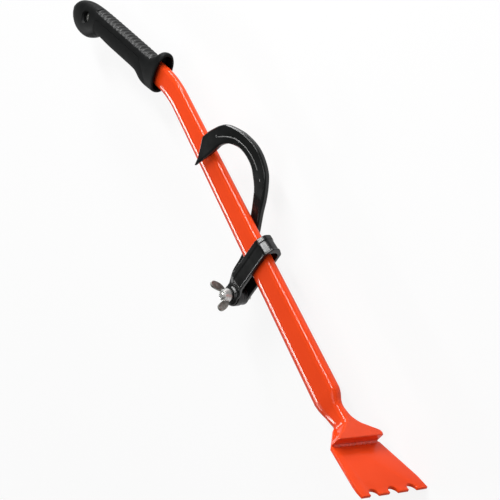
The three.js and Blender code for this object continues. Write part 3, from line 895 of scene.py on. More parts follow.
@dataclass(frozen=True)
class Shaft:
    """The flat tube from the blade's neck into the grip."""

    sizes: TubeSizes = TUBE
    straight_step: float = 12.0
    bend_steps: int = 24

    def build(self) -> None:
        """Sweeps the tube's section along its bent path."""
        size = self.sizes
        count = int((size.visible_end_x - size.bend_start_x) / self.straight_step) + 1
        spine = [Vector((size.visible_end_x - self.straight_step * k, 0.0, 0.0)) for k in range(count)]
        spine += [size.bend_point(size.droop * k / self.bend_steps) for k in range(self.bend_steps + 1)]
        inward = Vector((-math.cos(size.droop), -math.sin(size.droop), 0.0))
        spine.append(spine[-1] + inward * size.length_in_grip)
        half, side = size.shown_height_at_neck / 2, size.thickness_at_neck / 2
        upper, lower = rolled_corner(size.upper_edge), rolled_corner(size.lower_edge)
        ring = cornered_ring(0.0, -half, half, -side, side, upper, lower)
        shape = path_shape("flat_tube", [tuple(p) for p in spine], [(y, z, 0.0) for _, y, z in ring])
        girth = shape.object.data.attributes.new("girth", "FLOAT", "POINT")
        for k, point in enumerate(spine):
            girth.data[k].value = size.girth(point.x)
        self.sweep(shape).finish(IN_TUBE, Body.LEVER, Slot.ORANGE_PAINT, PAINT, ("shaft_tube",), sharp=50.0)

    def sweep(self, shape: Shape) -> Shape:
        """Runs the rounded section along the path.

        Args:
            shape: Path with the section's size at each point, and the section.

        Returns:
            The tube.
        """
        tree = Tree("flat_tube_tree")
        size = tree.math("MULTIPLY", tree.attribute("girth", "FLOAT"), tree.number("Section Size", 1.0))
        chosen = {"Geometry": tree.geometry, "Selection": tree.attribute("section", "BOOLEAN")}
        parts = tree.node("GeometryNodeSeparateGeometry", chosen, domain="POINT").outputs
        section, path = [
            tree.node("GeometryNodeMeshToCurve", {"Mesh": parts[part]}).outputs["Curve"]
            for part in ("Selection", "Inverted")
        ]
        level = tree.node("GeometryNodeSetCurveNormal", {"Curve": path}, mode="Z_UP").outputs["Curve"]
        return tree.apply(shape, tree.swept(level, section, Scale=size), PAINT).face_outwards()


# ---------------------------------------------------------------- neck and blade


@dataclass(frozen=True)
class Neck:
    """The forged neck, its fan that ends in a step on the blade, and the step's weld."""

    seat_gap: float = 0.3
    seat_front: float = 4.0
    seat_reach: float = 70.0
    step_x: float = -65.0
    step_near: float = 29.6
    step_far: float = -33.6
    edge_radius: float = 2.6
    tang_end: float = -91.0
    rings: int = 120
    skin_voxel: float = 0.55
    skin_rounds: int = 4
    weld_lead: float = 0.5
    weld_rise: float = 0.4
    weld_sway: float = 0.35
    weld_turn: float = 0.9
    weld_points: int = 40
    weld_radius: float = 1.8
    weld_ripple: float = 0.45
    weld_pitch: float = 5.2
    weld_wander: float = 1.3
    weld_seed: float = 8.0
    top: Table = (
        (-140, 17.3), (-128, 18.1), (-122.4, 18.62), (-116, 16.9), (-110, 13.6), (-104, 12.5), (-95, 13.5),
        (-65, 16.3),
    )
    bottom: Table = (
        (-140, -17.3), (-128, -18.1), (-122.4, -18.62), (-114, -17.0), (-108, -15), (-104, -13.4),
        (-96, -10.9), (-90, -9), (-65, -9),
    )
    near: Table = (
        (-140, 6.4), (-128, 6.7), (-122.4, 7.0), (-113, 6.6), (-104, 5.9), (-94, 6.5), (-86, 7.9),
        (-80, 11.4), (-74, 18.8), (-69, 26), (-65, 29.6),
    )
    far: Table = (
        (-140, -6.4), (-128, -6.7), (-122.4, -7.0), (-113, -6.6), (-104, -5.9), (-95, -7), (-88, -9.6),
        (-82, -13.6), (-76, -23.4), (-71.5, -31.5), (-68.5, -33.6), (-65, -32.8),
    )
    edge: Table = ((-122.4, 4.2), (-104, 3.4), (-84, 3.0), (-65, 2.6))
    own_corner: Table = ((-140, 0.0), (-92, 0.0), (-80, 1.0), (-65, 1.0))

    def build(self) -> None:
        """Builds the forging, which runs into the tube without a seam, and the weld at its step."""
        self.forging().finish(
            IN_TUBE, Body.LEVER, Slot.ORANGE_PAINT, PAINT, ("neck_forging", "neck_weld_bead"), sharp=60.0
        )
        self.step_weld().finish(
            IN_TUBE, Body.LEVER, Slot.ORANGE_PAINT, PAINTED_WELD, ("step_weld_bead",), sharp=80.0
        )

    def forging(self) -> Shape:
        """Lofts the neck and cuts the blade's seat into its foot.

        Returns:
            The forging in the tube's frame.
        """
        start = self.top[0][0]
        edges, rings = [np.array(rolled_corner(e)) for e in (TUBE.upper_edge, TUBE.lower_edge)], []
        for x in (start + (self.step_x - start) * k / self.rings for k in range(self.rings + 1)):
            share = value_at(self.own_corner, x)
            thin = min(value_at(self.near, x) / value_at(self.near, TUBE.visible_end_x), 1.0)
            corners = []
            for edge in edges:
                own = np.array(round_corner(value_at(self.edge, x), len(edge) - 1))
                corners.append([tuple(pair) for pair in (1 - share) * edge * thin + share * own])
            sides = [value_at(side, x) for side in (self.bottom, self.top, self.far, self.near)]
            rings.append(cornered_ring(x, *sides, *corners))
        outline = rectangle(self.tang_end - self.seat_gap, -self.seat_reach, self.seat_front, self.seat_gap)
        seat = Shape.slab("seat_cutter", outline, -self.seat_reach, self.seat_reach)
        seat.moved(Matrix.Translation((0, TUBE.blade_tip_y, 0)) @ turned(TUBE.blade_tilt, "Z"))
        neck = Shape.skin("forged_neck", rings).cut(Cut.AWAY, seat, solver="EXACT")
        return neck.forged(self.skin_voxel, self.skin_rounds)

    def step_weld(self) -> Shape:
        """Runs the wavy weld along the foot of the step.

        Returns:
            The weld in the tube's frame.
        """
        path = []
        low, high = self.step_far + self.edge_radius, self.step_near - self.edge_radius
        x = self.step_x + self.weld_lead
        y = TUBE.blade_tip_y + x * math.tan(TUBE.blade_tilt) + self.weld_rise
        for k in range(self.weld_points):
            z = low + (high - low) * k / (self.weld_points - 1)
            path.append((x + self.weld_sway * math.sin(self.weld_turn * z), y, z))
        return bead_along(
            "step_weld", path, self.weld_radius, PAINTED_WELD, self.weld_ripple, self.weld_pitch,
            self.weld_wander, self.weld_seed,
        )


@dataclass(frozen=True)
class Blade:
    """The toothed plate at the tube's end."""

    thickness: float = 4.2
    tip_near: float = 42.6
    tip_far: float = -45.4
    shoulder: Point = (-16.0, 40.8, -45.0)
    rear: Point = (-67.0, 29.8, -35.2)
    tang_waist: Pair = (-78.0, 20.0)
    tang_end: Pair = (-91.0, 8.5)
    notches: int = 3
    notch_sides: int = 48
    tooth_pitch: float = 25.3
    notch_width: float = 11.5
    notch_depth: float = 7.6
    tooth_edge: float = 3.0
    bevel_length: float = 9.0
    edge_round: float = 0.75
    grind_reach: float = 27.0
    grind_side: float = 90.0
    cutter_reach: float = 40.0

    def build(self) -> None:
        """Builds the plate with its ground teeth."""
        plate = self.notched().moved(turned(math.pi / 2, "X"))
        reach, side = self.grind_reach, self.grind_side
        slope = math.atan2(self.thickness - self.tooth_edge, self.bevel_length)
        grind = Shape.slab("tooth_grind", rectangle(-reach, -reach, reach, 0), -side, side)
        grind.moved(Matrix.Translation((0, -self.tooth_edge, 0)) @ turned(slope, "Z"))
        plate.cut(Cut.AWAY, grind, solver="EXACT").bevelled(self.edge_round)
        plate.finish(IN_BLADE, Body.LEVER, Slot.ORANGE_PAINT, BLADE_PAINT, ("blade_plate",), sharp=30.0)

    def notched(self) -> Shape:
        """Cuts the row of notches between the teeth out of the plate.

        Returns:
            The plate, lying flat with its upper face at Z = 0 once it is stood up.
        """
        outline = [
            (0, self.tip_far), (0, self.tip_near), self.shoulder[:2], self.rear[:2], self.tang_waist,
            self.tang_end, (self.tang_end[0], -self.tang_end[1]), (self.tang_waist[0], -self.tang_waist[1]),
            (self.rear[0], self.rear[2]), (self.shoulder[0], self.shoulder[2]),
        ]
        tree = Tree("tooth_row_tree")
        count = tree.number("Notches", self.notches, whole=True)
        pitch = tree.number("Tooth Pitch", self.tooth_pitch)
        width = tree.number("Notch Width", self.notch_width)
        depth = tree.number("Notch Depth", self.notch_depth)
        reach = tree.number("Cutter Reach", self.cutter_reach)
        radius = tree.math("DIVIDE", width, 2.0)
        first = tree.math("MULTIPLY", tree.math("MULTIPLY", tree.math("SUBTRACT", count, 1.0), pitch), -0.5)
        start = tree.vector(X=tree.math("SUBTRACT", radius, depth), Y=first)
        row = tree.node(
            "GeometryNodeMeshLine", {"Count": count, "Start Location": start, "Offset": tree.vector(Y=pitch)}
        )
        sizes = {"Vertices": self.notch_sides, "Radius": radius, "Depth": reach}
        round_end = tree.node("GeometryNodeMeshCylinder", sizes)
        mouth = tree.node("GeometryNodeMeshCube", {"Size": tree.vector(X=reach, Y=width, Z=reach)})
        shift = tree.vector(X=tree.math("DIVIDE", reach, 2.0))
        open_end = tree.node("GeometryNodeTransform", {"Geometry": mouth.outputs["Mesh"], "Translation": shift})
        exact = {"solver": "EXACT"}
        cutter = tree.node(
            "GeometryNodeMeshBoolean", {"Mesh 2": round_end.outputs["Mesh"]}, operation="UNION", **exact
        )
        tree.tree.links.new(open_end.outputs["Geometry"], cutter.inputs["Mesh 2"])
        placed = tree.node(
            "GeometryNodeInstanceOnPoints", {"Points": row.outputs["Mesh"], "Instance": cutter.outputs["Mesh"]}
        )
        real = tree.node("GeometryNodeRealizeInstances", {"Geometry": placed.outputs["Instances"]})
        pair = {"Mesh 1": tree.geometry, "Mesh 2": real.outputs["Geometry"]}
        cut = tree.node("GeometryNodeMeshBoolean", pair, operation="DIFFERENCE", **exact)
        plate = Shape.slab("toothed_blade", outline, 0.0, self.thickness)
        return tree.apply(plate, cut.outputs["Mesh"], BLADE_PAINT).face_outwards()


# ---------------------------------------------------------------- grip


@dataclass(frozen=True)
class Grip:
    """The moulded grip: ribbed body, softer belly pad and the eyelet in its hang hole."""

    length: float = 231.0
    front: float = 1.0
    squareness: float = 2.4
    sides: int = 96
    step: float = 0.7
    rib_count: int = 17
    rib_pitch: float = 8.4
    first_rib: float = 22.0
    groove_depth: float = 1.6
    rib_share: Pair = (0.6, 0.86)
    groove_span: Pair = (0.06, 0.46)
    # Height above which the ribbed back gets the painted sheen.
    sheen_from: float = 11.6
    pad_rear: float = 157.0
    pad_front: float = 15.0
    pad_top: float = 4.9
    pad_gap: float = 0.45
    pad_rear_round: Pair = (8.0, 3.0)
    pad_bend: Table = ((-48.0, 0.0), (-41.0, 0.0), (-36.0, 4.0))
    pad_foot: Pair = (-22.0, -9.0)
    pad_front_top: float = -13.0
    pad_cut_reach: Pair = (60.0, 30.0)
    hole_at: float = 183.0
    hole_drop: float = 3.0
    hole_radius: float = 7.3
    hole_length: float = 80.0
    dish_slope_radius: float = 22.0
    dish_floor: float = 9.7
    dish_top: float = 30.0
    eyelet_top: float = 5.6
    pocket_depth: float = 12.0
    pocket_wall: float = 1.3
    pocket_lead: float = 4.0
    pocket_taper: float = 0.9
    eyelet_wall: float = 1.5
    eyelet_gap: float = 0.3
    eyelet_lip: float = 0.4
    eyelet_rim: Pair = (0.2, 0.3)
    top: Table = (
        (1, 27.3), (3, 28.5), (9, 27.6), (14, 22.6), (19, 18.6), (26, 17), (60, 16.8), (110, 16.9),
        (165, 16.7), (184, 15.8), (200, 13.4), (213, 9.2), (222, 3.6), (231, -5),
    )
    bottom: Table = (
        (1, 21.2), (3, 22.2), (12, 22.8), (25, 22.8), (33, 21.6), (41, 18.4), (50, 16.2), (80, 15.8),
        (120, 15.9), (146, 15.1), (154, 15.6), (160, 19), (167, 23.6), (177, 28), (187, 29.8),
        (198, 29.6), (208, 27.6), (217, 23.4), (225, 17.4), (231, 10.5),
    )
    half_width: Table = (
        (1, 12.2), (3, 12.8), (10, 12.9), (21, 13.2), (40, 13.3), (150, 13.1), (175, 12.4),
        (200, 11.8), (214, 10), (223, 7.2), (231, 3),
    )

    def build(self) -> None:
        """Builds the body, the pad and the eyelet."""
        body = self.ribbed(self.blank())
        pad = body.copy("grip_pad")
        low = -self.dish_floor - self.dish_top
        hole = Shape.post("through", self.hole_radius, low, low + self.hole_length)
        body.cut(Cut.AWAY, self.pocket(), self.pad_cutter(self.pad_gap), self.at_hole(hole))
        for side in (1.0, -1.0):
            dish = (self.hole_radius, side * self.dish_floor, side * self.dish_top, self.dish_slope_radius)
            body.cut(Cut.AWAY, self.at_hole(Shape.post("dish", *dish)))
        piece = body.finish(IN_GRIP, Body.LEVER, Slot.GRIP_PLASTIC, PLASTIC, ("grip_body",), sharp=35.0)
        ribs_end = self.first_rib + self.rib_count * self.rib_pitch
        # Faces of the ribbed back get a lighter black: painted sheen.
        dress_part(
            piece, RIB_SHEEN_PLASTIC, IN_GRIP, lambda p: p.y > self.sheen_from and self.first_rib < -p.x < ribs_end
        )
        pad.cut(Cut.KEEP, self.pad_cutter(0.0))
        pad.finish(IN_GRIP, Body.LEVER, Slot.GRIP_SOFT, SOFT_PLASTIC, ("grip_belly_pad",), sharp=35.0)
        self.eyelet().finish(IN_GRIP, Body.LEVER, Slot.ZINC_PLATE, ZINC, ("hang_hole_eyelet",))

    def at_hole(self, shape: Shape) -> Shape:
        """Moves a round shape to the hang hole."""
        return shape.moved(Matrix.Translation((-self.hole_at, -self.hole_drop, 0)))

    def ring(self, along: float) -> tuple[list[Point], list[float]]:
        """Gives one ring of the grip, and how much of each point belongs to the ribbed back.

        Args:
            along: Distance from the guard.

        Returns:
            The points, and a share from 0 to 1 for each.
        """
        top, bottom = value_at(self.top, along), value_at(self.bottom, along)
        half = value_at(self.half_width, along)
        middle, rise = (top - bottom) / 2, (top + bottom) / 2
        points, back = [], []
        for k in range(self.sides):
            angle = 2 * math.pi * k / self.sides
            c, s = math.cos(angle), math.sin(angle)
            t = min(max((s - self.rib_share[0]) / (self.rib_share[1] - self.rib_share[0]), 0.0), 1.0)
            back.append(t * t * (3 - 2 * t))
            y = math.copysign(abs(s) ** (2 / self.squareness), s)
            z = math.copysign(abs(c) ** (2 / self.squareness), c)
            points.append((-along, middle + rise * y, half * z))
        return points, back

    def blank(self) -> Shape:
        """Lofts the grip without its ribs.

        Returns:
            The shape, with the share of the ribbed back as an attribute.
        """
        count = int((self.length - self.front) / self.step)
        places = [self.front + (self.length - self.front) * k / count for k in range(count + 1)]
        rings, shares = [], []
        for place in places:
            points, back = self.ring(place)
            rings.append(points)
            shares += back
        shape = Shape.skin("ribbed_grip", rings)
        attribute = shape.object.data.attributes.new("back", "FLOAT", "POINT")
        values = np.zeros(len(shape.object.data.vertices), np.float32)
        values[: len(shares)] = shares
        attribute.data.foreach_set("value", values)
        return shape

    def ribbed(self, shape: Shape) -> Shape:
        """Sinks the grooves between the ribs into the back.

        Args:
            shape: The plain grip.

        Returns:
            The grip with its ribs.
        """
        tree = Tree("rib_tree")
        count = tree.number("Rib Count", self.rib_count, whole=True)
        pitch = tree.number("Rib Pitch", self.rib_pitch)
        first = tree.number("First Rib", self.first_rib)
        depth = tree.number("Groove Depth", self.groove_depth)
        place = tree.node("GeometryNodeInputPosition").outputs[0]
        along = tree.math("MULTIPLY", tree.node("ShaderNodeSeparateXYZ", {0: place}).outputs["X"], -1.0)
        turns = tree.math("DIVIDE", tree.math("SUBTRACT", along, first), pitch)
        phase = tree.math("ABSOLUTE", tree.math("SUBTRACT", tree.math("FRACT", turns), 0.5))
        groove = tree.spread(phase, self.groove_span, interpolation_type="SMOOTHSTEP")
        ribbed = tree.math("MULTIPLY", tree.math("GREATER_THAN", turns, 0.0), tree.math("LESS_THAN", turns, count))
        share = tree.math("MULTIPLY", ribbed, tree.attribute("back", "FLOAT"))
        sink = tree.math("MULTIPLY", tree.math("MULTIPLY", groove, depth), share)
        offset = tree.vector(Y=tree.math("MULTIPLY", sink, -1.0))
        moved = tree.node("GeometryNodeSetPosition", {"Geometry": tree.geometry, "Offset": offset})
        return tree.apply(shape, moved.outputs["Geometry"], PLASTIC)

    def pocket(self) -> Shape:
        """Gives the hollow in the guard's front, round the tube.

        Returns:
            The cutter in the grip's frame.
        """
        flat, _ = self.ring(self.front)
        high, low = value_at(self.top, self.front), value_at(self.bottom, self.front)
        middle, tall = (high - low) / 2, 1 - 2 * self.pocket_wall / (high + low)
        wide = 1 - self.pocket_wall / value_at(self.half_width, self.front)
        rings = []
        for x, share in ((-self.front - self.pocket_depth, self.pocket_taper), (self.pocket_lead, 1.0)):
            rings.append([(x, middle + (y - middle) * tall * share, z * wide * share) for _, y, z in flat])
        return Shape.skin("pocket", rings)

    def pad_cutter(self, grow: float) -> Shape:
        """Gives the side view of the belly pad as a cutter.

        Args:
            grow: How far the outline moves outwards.

        Returns:
            The cutter in the grip's frame.
        """
        (round_x, round_y), (foot_x, foot_y), (deep, side) = self.pad_rear_round, self.pad_foot, self.pad_cut_reach
        rear, front, top = -self.pad_rear - grow, -self.pad_front + grow, self.pad_top + grow
        bend, handle, end = self.pad_bend
        foot = (foot_x + grow, foot_y)
        outline = [(rear, -deep), (rear, self.pad_top - round_y)]
        outline += curve(outline[-1], (rear, top), (-self.pad_rear + round_x, top))
        outline += [(bend[0], top)]
        outline += curve(outline[-1], (handle[0] + grow, top), (end[0] + grow, self.pad_top - end[1]))
        outline += [foot]
        outline += curve(foot, (front, self.pad_front_top), (front, -deep))
        return Shape.slab("pad_cutter", outline, -side, side)

    def eyelet(self) -> Shape:
        """Turns the bright sleeve in the hang hole.

        Returns:
            The sleeve in the grip's frame.
        """
        outer, (rim_x, rim_y) = self.hole_radius - self.eyelet_gap, self.eyelet_rim
        inner, top = outer - self.eyelet_wall, self.eyelet_top
        half = [
            (outer, top - rim_y), (outer - rim_x, top), (inner + rim_y, top), (inner, top - self.eyelet_lip)
        ]
        return self.at_hole(Shape.lathe("eyelet", [(x, -y) for x, y in half[::-1]] + half))


# ---------------------------------------------------------------- clamp and hook


@dataclass(frozen=True)
class ClampLoop:
    """The loop round the tube, with its rims and lugs."""

    sizes: LoopSizes = LOOP
    skin_voxel: float = 0.42
    skin_rounds: int = 3
    corner_steps: int = 10
    bend_gain: float = 1.0
    # Size of the spot on the near lug's cone that gets the painted highlight.
    highlight_half_width: float = 4.4
    highlight_margin: float = 0.1

    def build(self) -> None:
        """Joins band, rims, lugs and bosses into one forging."""
        size = self.sizes
        half = size.band_width / 2
        band = self.band(0.0, -half, half)
        rims = [
            self.band(size.rim_height, -half, -half + size.grip_side_rim_width),
            self.band(size.rim_height, half - size.rim_width, half),
        ]
        near, far = size.near_lug_face, size.far_lug_face
        lugs = [
            self.disc(size.lug_radius, size.lug_inner_face, size.lug_inner_face + size.lug_plate),
            self.disc(size.lug_radius, far, -size.lug_inner_face),
            self.disc(size.lug_cone_radius, size.lug_inner_face, near + size.boss_height, size.boss_radius),
            self.disc(size.boss_radius, far - size.boss_height, -size.lug_inner_face),
        ]
        loop = band.add(*rims, *lugs).forged(self.skin_voxel, self.skin_rounds)
        piece = loop.finish(IN_LOOP, Body.CLAMP, Slot.BLACK_COAT, COAT, ("clamp_loop",), sharp=60.0)
        # Part of the near lug's cone is light grey: a painted highlight.
        dress_part(piece, HIGHLIGHT_GREY_COAT, IN_LOOP, self.takes_painted_highlight)

    def takes_painted_highlight(self, spot: Vector) -> bool:
        """Tells whether a point is on the part of the near lug's cone that gets the painted highlight.

        Args:
            spot: The point, in the loop's frame.

        Returns:
            Whether it is.
        """
        size, margin = self.sizes, self.highlight_margin
        reach = math.hypot(spot.x, spot.y + size.bolt_drop)
        raised = spot.z > size.lug_inner_face + size.lug_plate + 2 * margin
        on_cone = size.boss_radius + margin < reach < size.lug_cone_radius + 2 * margin
        return on_cone and raised and abs(spot.x) < self.highlight_half_width and spot.y > -size.bolt_drop

    def outline(self, grow: float) -> Path:
        """Gives the band as it is seen along the tube.

        Args:
            grow: How far the outer edge moves outwards.

        Returns:
            The outline, across the tube and up.
        """
        size = self.sizes
        thick, inner, drop = size.band_thickness + grow, size.inner_half_width, -size.bolt_drop
        outer, foot = inner + thick, size.lug_inner_face
        corner, inner_y = size.inner_corner, size.inner_top - size.inner_corner
        top = size.inner_top + size.crown_thickness + grow
        crown = [(outer - in_z, top - in_y) for in_y, in_z in rolled_corner(size.crown_edge)]
        points = [(-outer, drop), (-inner, drop)]
        points += arc((-inner + corner, inner_y), corner, 180, 90, self.corner_steps)
        points += arc((inner - corner, inner_y), corner, 90, 0, self.corner_steps)
        points += [(inner, -size.leg_bend_top), (foot, -size.leg_bend_foot), (foot, drop)]
        plate = foot + size.lug_plate + grow
        bend_foot, bend_top = -size.leg_bend_foot + self.bend_gain, -size.leg_bend_top + self.bend_gain
        points += [(plate, drop), (plate, bend_foot), (outer, bend_top)]
        points += crown[::-1] + [(-x, y) for x, y in crown]
        return points

    def band(self, grow: float, start: float, end: float) -> Shape:
        """Gives a stretch of the band along the tube."""
        return Shape.slab("band", self.outline(grow), -end, -start, turned(-math.pi / 2, "Y"))

    def disc(self, radius: float, low: float, high: float, top_radius: float | None = None) -> Shape:
        """Gives a disc round the bolt's axis, with a sloped edge if its top has a radius of its own.

        Args:
            radius: Radius of the disc.
            low: Lowest Z.
            high: Highest Z.
            top_radius: Radius of the top, if it is smaller.

        Returns:
            The disc in the loop's frame.
        """
        side = [(radius, high)]
        if top_radius is not None:
            side = [(radius, high - (radius - top_radius)), (top_radius, high)]
        disc = Shape.lathe("forged_loop", [(0, low), (radius, low), *side, (0, high)])
        return disc.moved(Matrix.Translation((0, -self.sizes.bolt_drop, 0)))


@dataclass(frozen=True)
class TurningHook:
    """The curved hook with its eye on the bolt and its claw beside the tube."""

    thickness: float = 8.0
    eye_radius: float = 12.4
    chamfer: float = 1.8
    chamfer_share: float = 0.7
    steps: int = 8
    stations: tuple[tuple[float, ...], ...] = (
        (9.6, -48.4, -9.6, -64.0, 0, 8), (0.5, -41.5, -14.5, -52, -0.4, 8),
        (-12.4, -30.5, -22.5, -40.3, -3.6, 8), (-17.5, -19, -29.5, -26.5, -10.3, 8),
        (-24.5, -6, -36.5, -14, -13, 8), (-32.8, 9.4, -46, 2.5, -13.6, 8),
        (-43.2, 27.1, -56.2, 19.1, -13.6, 8), (-49, 40.6, -62.8, 30.4, -12.8, 8),
        (-55.9, 54.4, -69.2, 41.2, -11.1, 8), (-65.5, 66.9, -78, 49.7, -9.4, 8),
        (-80.1, 75.5, -86.2, 56.6, -7.2, 8), (-95, 79.3, -98, 60.4, -4.8, 8),
        (-112, 78.1, -108.5, 60.8, -2.6, 8), (-124, 74.8, -116.5, 58.2, -1, 8),
        (-139.3, 67.9, -122.6, 55, 1.5, 8), (-147, 59.5, -125.5, 52.4, 2.6, 8),
        (-152, 50.5, -128.6, 48.3, 3.3, 8), (-155.8, 42, -131.3, 43.5, 3.8, 8),
        (-159.2, 31.1, -133, 37, 4, 8),
    )
    claw: tuple[tuple[float, ...], ...] = (
        (-153.6, 20.3, -136.3, 25.3, 4.5, 7), (-148.5, 10, -140.8, 11.5, 5.5, 5),
        (-145.6, 0.2, -144.3, 0.8, 6.7, 2.6),
    )
    parting_line: Table = (
        (-138.7, 49.8), (-130.7, 57.8), (-121.4, 64.2), (-112.9, 67.2), (-105.4, 68.4), (-97.5, 68.3),
        (-88.6, 66.7), (-81, 63.9), (-75.5, 60.7),
    )
    end_marks: Table = ((-141, 48.7), (-65.9, 55.0))
    mark_half: Pair = (1.2, -0.9)
    line_radius: float = 0.7
    line_steps: int = 10
    ray_height: float = 60.0
    clearance: float = 20.0
    skin_voxel: float = 0.45
    skin_rounds: int = 4

    def build(self) -> None:
        """Forges the hook and runs the raised line over its near face."""
        tables = [tuple(enumerate(column)) for column in zip(*self.stations)]
        count = (len(self.stations) - 1) * self.steps + 1
        rings = [self.ring([value_at(table, k / self.steps) for table in tables]) for k in range(count)]
        rings += [self.ring(list(station)) for station in self.claw]
        half, reach, eye, drop = self.thickness / 2, self.clearance, self.eye_radius, LOOP.bolt_drop
        hook = Shape.skin("forged_hook", rings)
        beside_lug = rectangle(-eye, -drop - reach, reach, -drop + eye)
        hook.cut(Cut.AWAY, Shape.slab("lug_clearance", beside_lug, -reach, -half), solver="EXACT")
        boss = Shape.post("eye", eye, -half, half).moved(Matrix.Translation((0, -drop, 0)))
        hook.add(boss).forged(self.skin_voxel, self.skin_rounds)
        line = self.raised_line(hook)
        hook.finish(IN_LOOP, Body.HOOK, Slot.BLACK_COAT, COAT, ("turning_hook",), sharp=60.0)
        # The raised line and its end marks are light grey: a painted highlight.
        line.finish(IN_LOOP, Body.HOOK, Slot.BLACK_COAT, HIGHLIGHT_GREY_COAT, (), sharp=80.0)

    def ring(self, station: list[float]) -> list[Point]:
        """Gives one chamfered ring of the hook.

        Args:
            station: Outer x and y, inner x and y, height of the middle, and thickness.

        Returns:
            The ring's points.
        """
        outer, inner = Vector(station[:2]), Vector(station[2:4])
        across, centre = outer - inner, (outer + inner) / 2
        w, t = across.length / 2, station[5] / 2
        across.normalize()
        bevel = min(self.chamfer, self.chamfer_share * w, self.chamfer_share * t)
        corners = (
            (w, t - bevel), (w - bevel, t), (-w + bevel, t), (-w, t - bevel),
            (-w, -t + bevel), (-w + bevel, -t), (w - bevel, -t), (w, -t + bevel),
        )
        return [(*(centre + across * u), station[4] + v) for u, v in corners]

    def raised_line(self, hook: Shape) -> Shape:
        """Lays the forging's raised line on the hook's near face.

        Args:
            hook: The hook, in the loop's frame.

        Returns:
            The line in the loop's frame.
        """
        xs, ys = [tuple(enumerate(column)) for column in zip(*self.parting_line)]
        places = [k / self.line_steps for k in range(self.line_steps * (len(xs) - 1) + 1)]
        spots = [(value_at(xs, k), value_at(ys, k)) for k in places]
        line = bead_along("hook_raised_line", self.laid_on(hook, spots), self.line_radius, HIGHLIGHT_GREY_COAT)
        for x, y in self.end_marks:
            mark = [(x + k * self.mark_half[0], y + k * self.mark_half[1]) for k in (-1, 0, 1)]
            line.add(bead_along("end_mark", self.laid_on(hook, mark), self.line_radius, HIGHLIGHT_GREY_COAT))
        return line

    def laid_on(self, hook: Shape, spots: Path) -> list[Point]:
        """Drops points onto the hook's near face, and sinks them by half of the line's radius.

        Args:
            hook: The hook, in the loop's frame.
            spots: X and Y of the points.

        Returns:
            The points that meet the hook.
        """
        points = []
        for x, y in spots:
            hit, spot, _, _ = hook.object.ray_cast(Vector((x, y, self.ray_height)), Vector((0, 0, -1)))
            if hit:
                points.append((x, y, spot.z - self.line_radius / 2))
        return points


# ---------------------------------------------------------------- bolt and nut


@dataclass(frozen=True)
class BoltSet:
    """The bolt through the lugs and the hook's eye, and its two washers."""

    sizes: BoltSizes = BOLT
    head_edge: float = 0.45
    head_angle: float = 25.0
    thread_depth: float = 0.35
    thread_radius: float = 0.42
    thread_ends: Pair = (1.2, 0.6)
    steps_per_turn: int = 40
    thread_sides: int = 6
    tip_chamfer: float = 0.7
    shank_start: float = 1.0
    shank_end: Pair = (2.0, 1.6)
    washer_rim: float = 0.25

    def build(self) -> None:
        """Builds the bolt and both washers."""
        self.bolt().finish(IN_BOLT, Body.CLAMP, Slot.ZINC_PLATE, ZINC, ("pivot_bolt",), sharp=35.0)
        thick = self.sizes.washer_thickness
        for name, bottom, node, look in (
            ("washer_at_head", HEAD_WASHER_TOP - thick, "head_washer", ZINC),
            # The washer under the nut is nearly black: painted shade between the nut and the lug.
            ("washer_at_nut", NUT_WASHER_BOTTOM, "nut_washer", ZINC_IN_PAINTED_SHADE),
        ):
            washer = self.washer(name, bottom)
            washer.finish(IN_BOLT, Body.CLAMP, Slot.ZINC_PLATE, look, (node,), sharp=35.0)

    def bolt(self) -> Shape:
        """Makes the head, the shank and the thread that shows in the nut.

        Returns:
            The bolt in its own frame.
        """
        size, root, tip = self.sizes, self.sizes.radius - self.thread_depth, self.tip_chamfer
        low, (full, thin) = HEAD_TOP - self.shank_start, self.shank_end
        hexagon = arc((0, 0), size.head_radius, 0, 300, 5)
        head = Shape.slab("hex_bolt", hexagon, HEAD_TOP - size.head_height, HEAD_TOP)
        head.bevelled(self.head_edge, self.head_angle)
        shank = Shape.lathe("shank", [
            (0, low), (size.radius, low), (size.radius, NUT_BOTTOM - full), (root, NUT_BOTTOM - thin),
            (root, BOLT_END - tip), (root - tip, BOLT_END), (0, BOLT_END),
        ])
        return head.add(shank, self.thread(root))

    def thread(self, root: float) -> Shape:
        """Winds the thread round the shank's end.

        Args:
            root: Radius at the foot of the thread.

        Returns:
            The thread in the bolt's frame.
        """
        start, end = NUT_BOTTOM - self.thread_ends[0], BOLT_END - self.thread_ends[1]
        tree = Tree("thread_tree")
        pitch, rise = tree.number("Pitch", self.sizes.thread_pitch), tree.number("Rise", end - start)
        radius, thick = tree.number("Root Radius", root), tree.number("Thread Radius", self.thread_radius)
        spiral = tree.node("GeometryNodeCurveSpiral", {
            "Resolution": self.steps_per_turn, "Rotations": tree.math("DIVIDE", rise, pitch),
            "Start Radius": radius, "End Radius": radius, "Height": rise,
        })
        sizes = {"Resolution": self.thread_sides, "Radius": thick}
        profile = tree.node("GeometryNodeCurvePrimitiveCircle", sizes, mode="RADIUS")
        wound = tree.swept(spiral.outputs["Curve"], profile.outputs["Curve"])
        lifted = tree.node("GeometryNodeTransform", {"Geometry": wound, "Translation": (0.0, 0.0, start)})
        seed = path_shape("thread", [(0, 0, 0), (0, 0, 1)])
        return tree.apply(seed, lifted.outputs["Geometry"], ZINC).face_outwards()

    def washer(self, name: str, bottom: float) -> Shape:
        """Turns a washer with soft rims.

        Args:
            name: Name of the piece.
            bottom: Height of its lower face.

        Returns:
            The washer in the bolt's frame.
        """
        size, rim = self.sizes, self.washer_rim
        inner, outer, top = size.radius + size.gap, size.washer_radius, bottom + size.washer_thickness
        profile = [
            (inner, bottom), (outer - rim, bottom), (outer, bottom + rim), (outer, top - rim),
            (outer - rim, top), (inner, top),
        ]
        return Shape.lathe(name, profile)


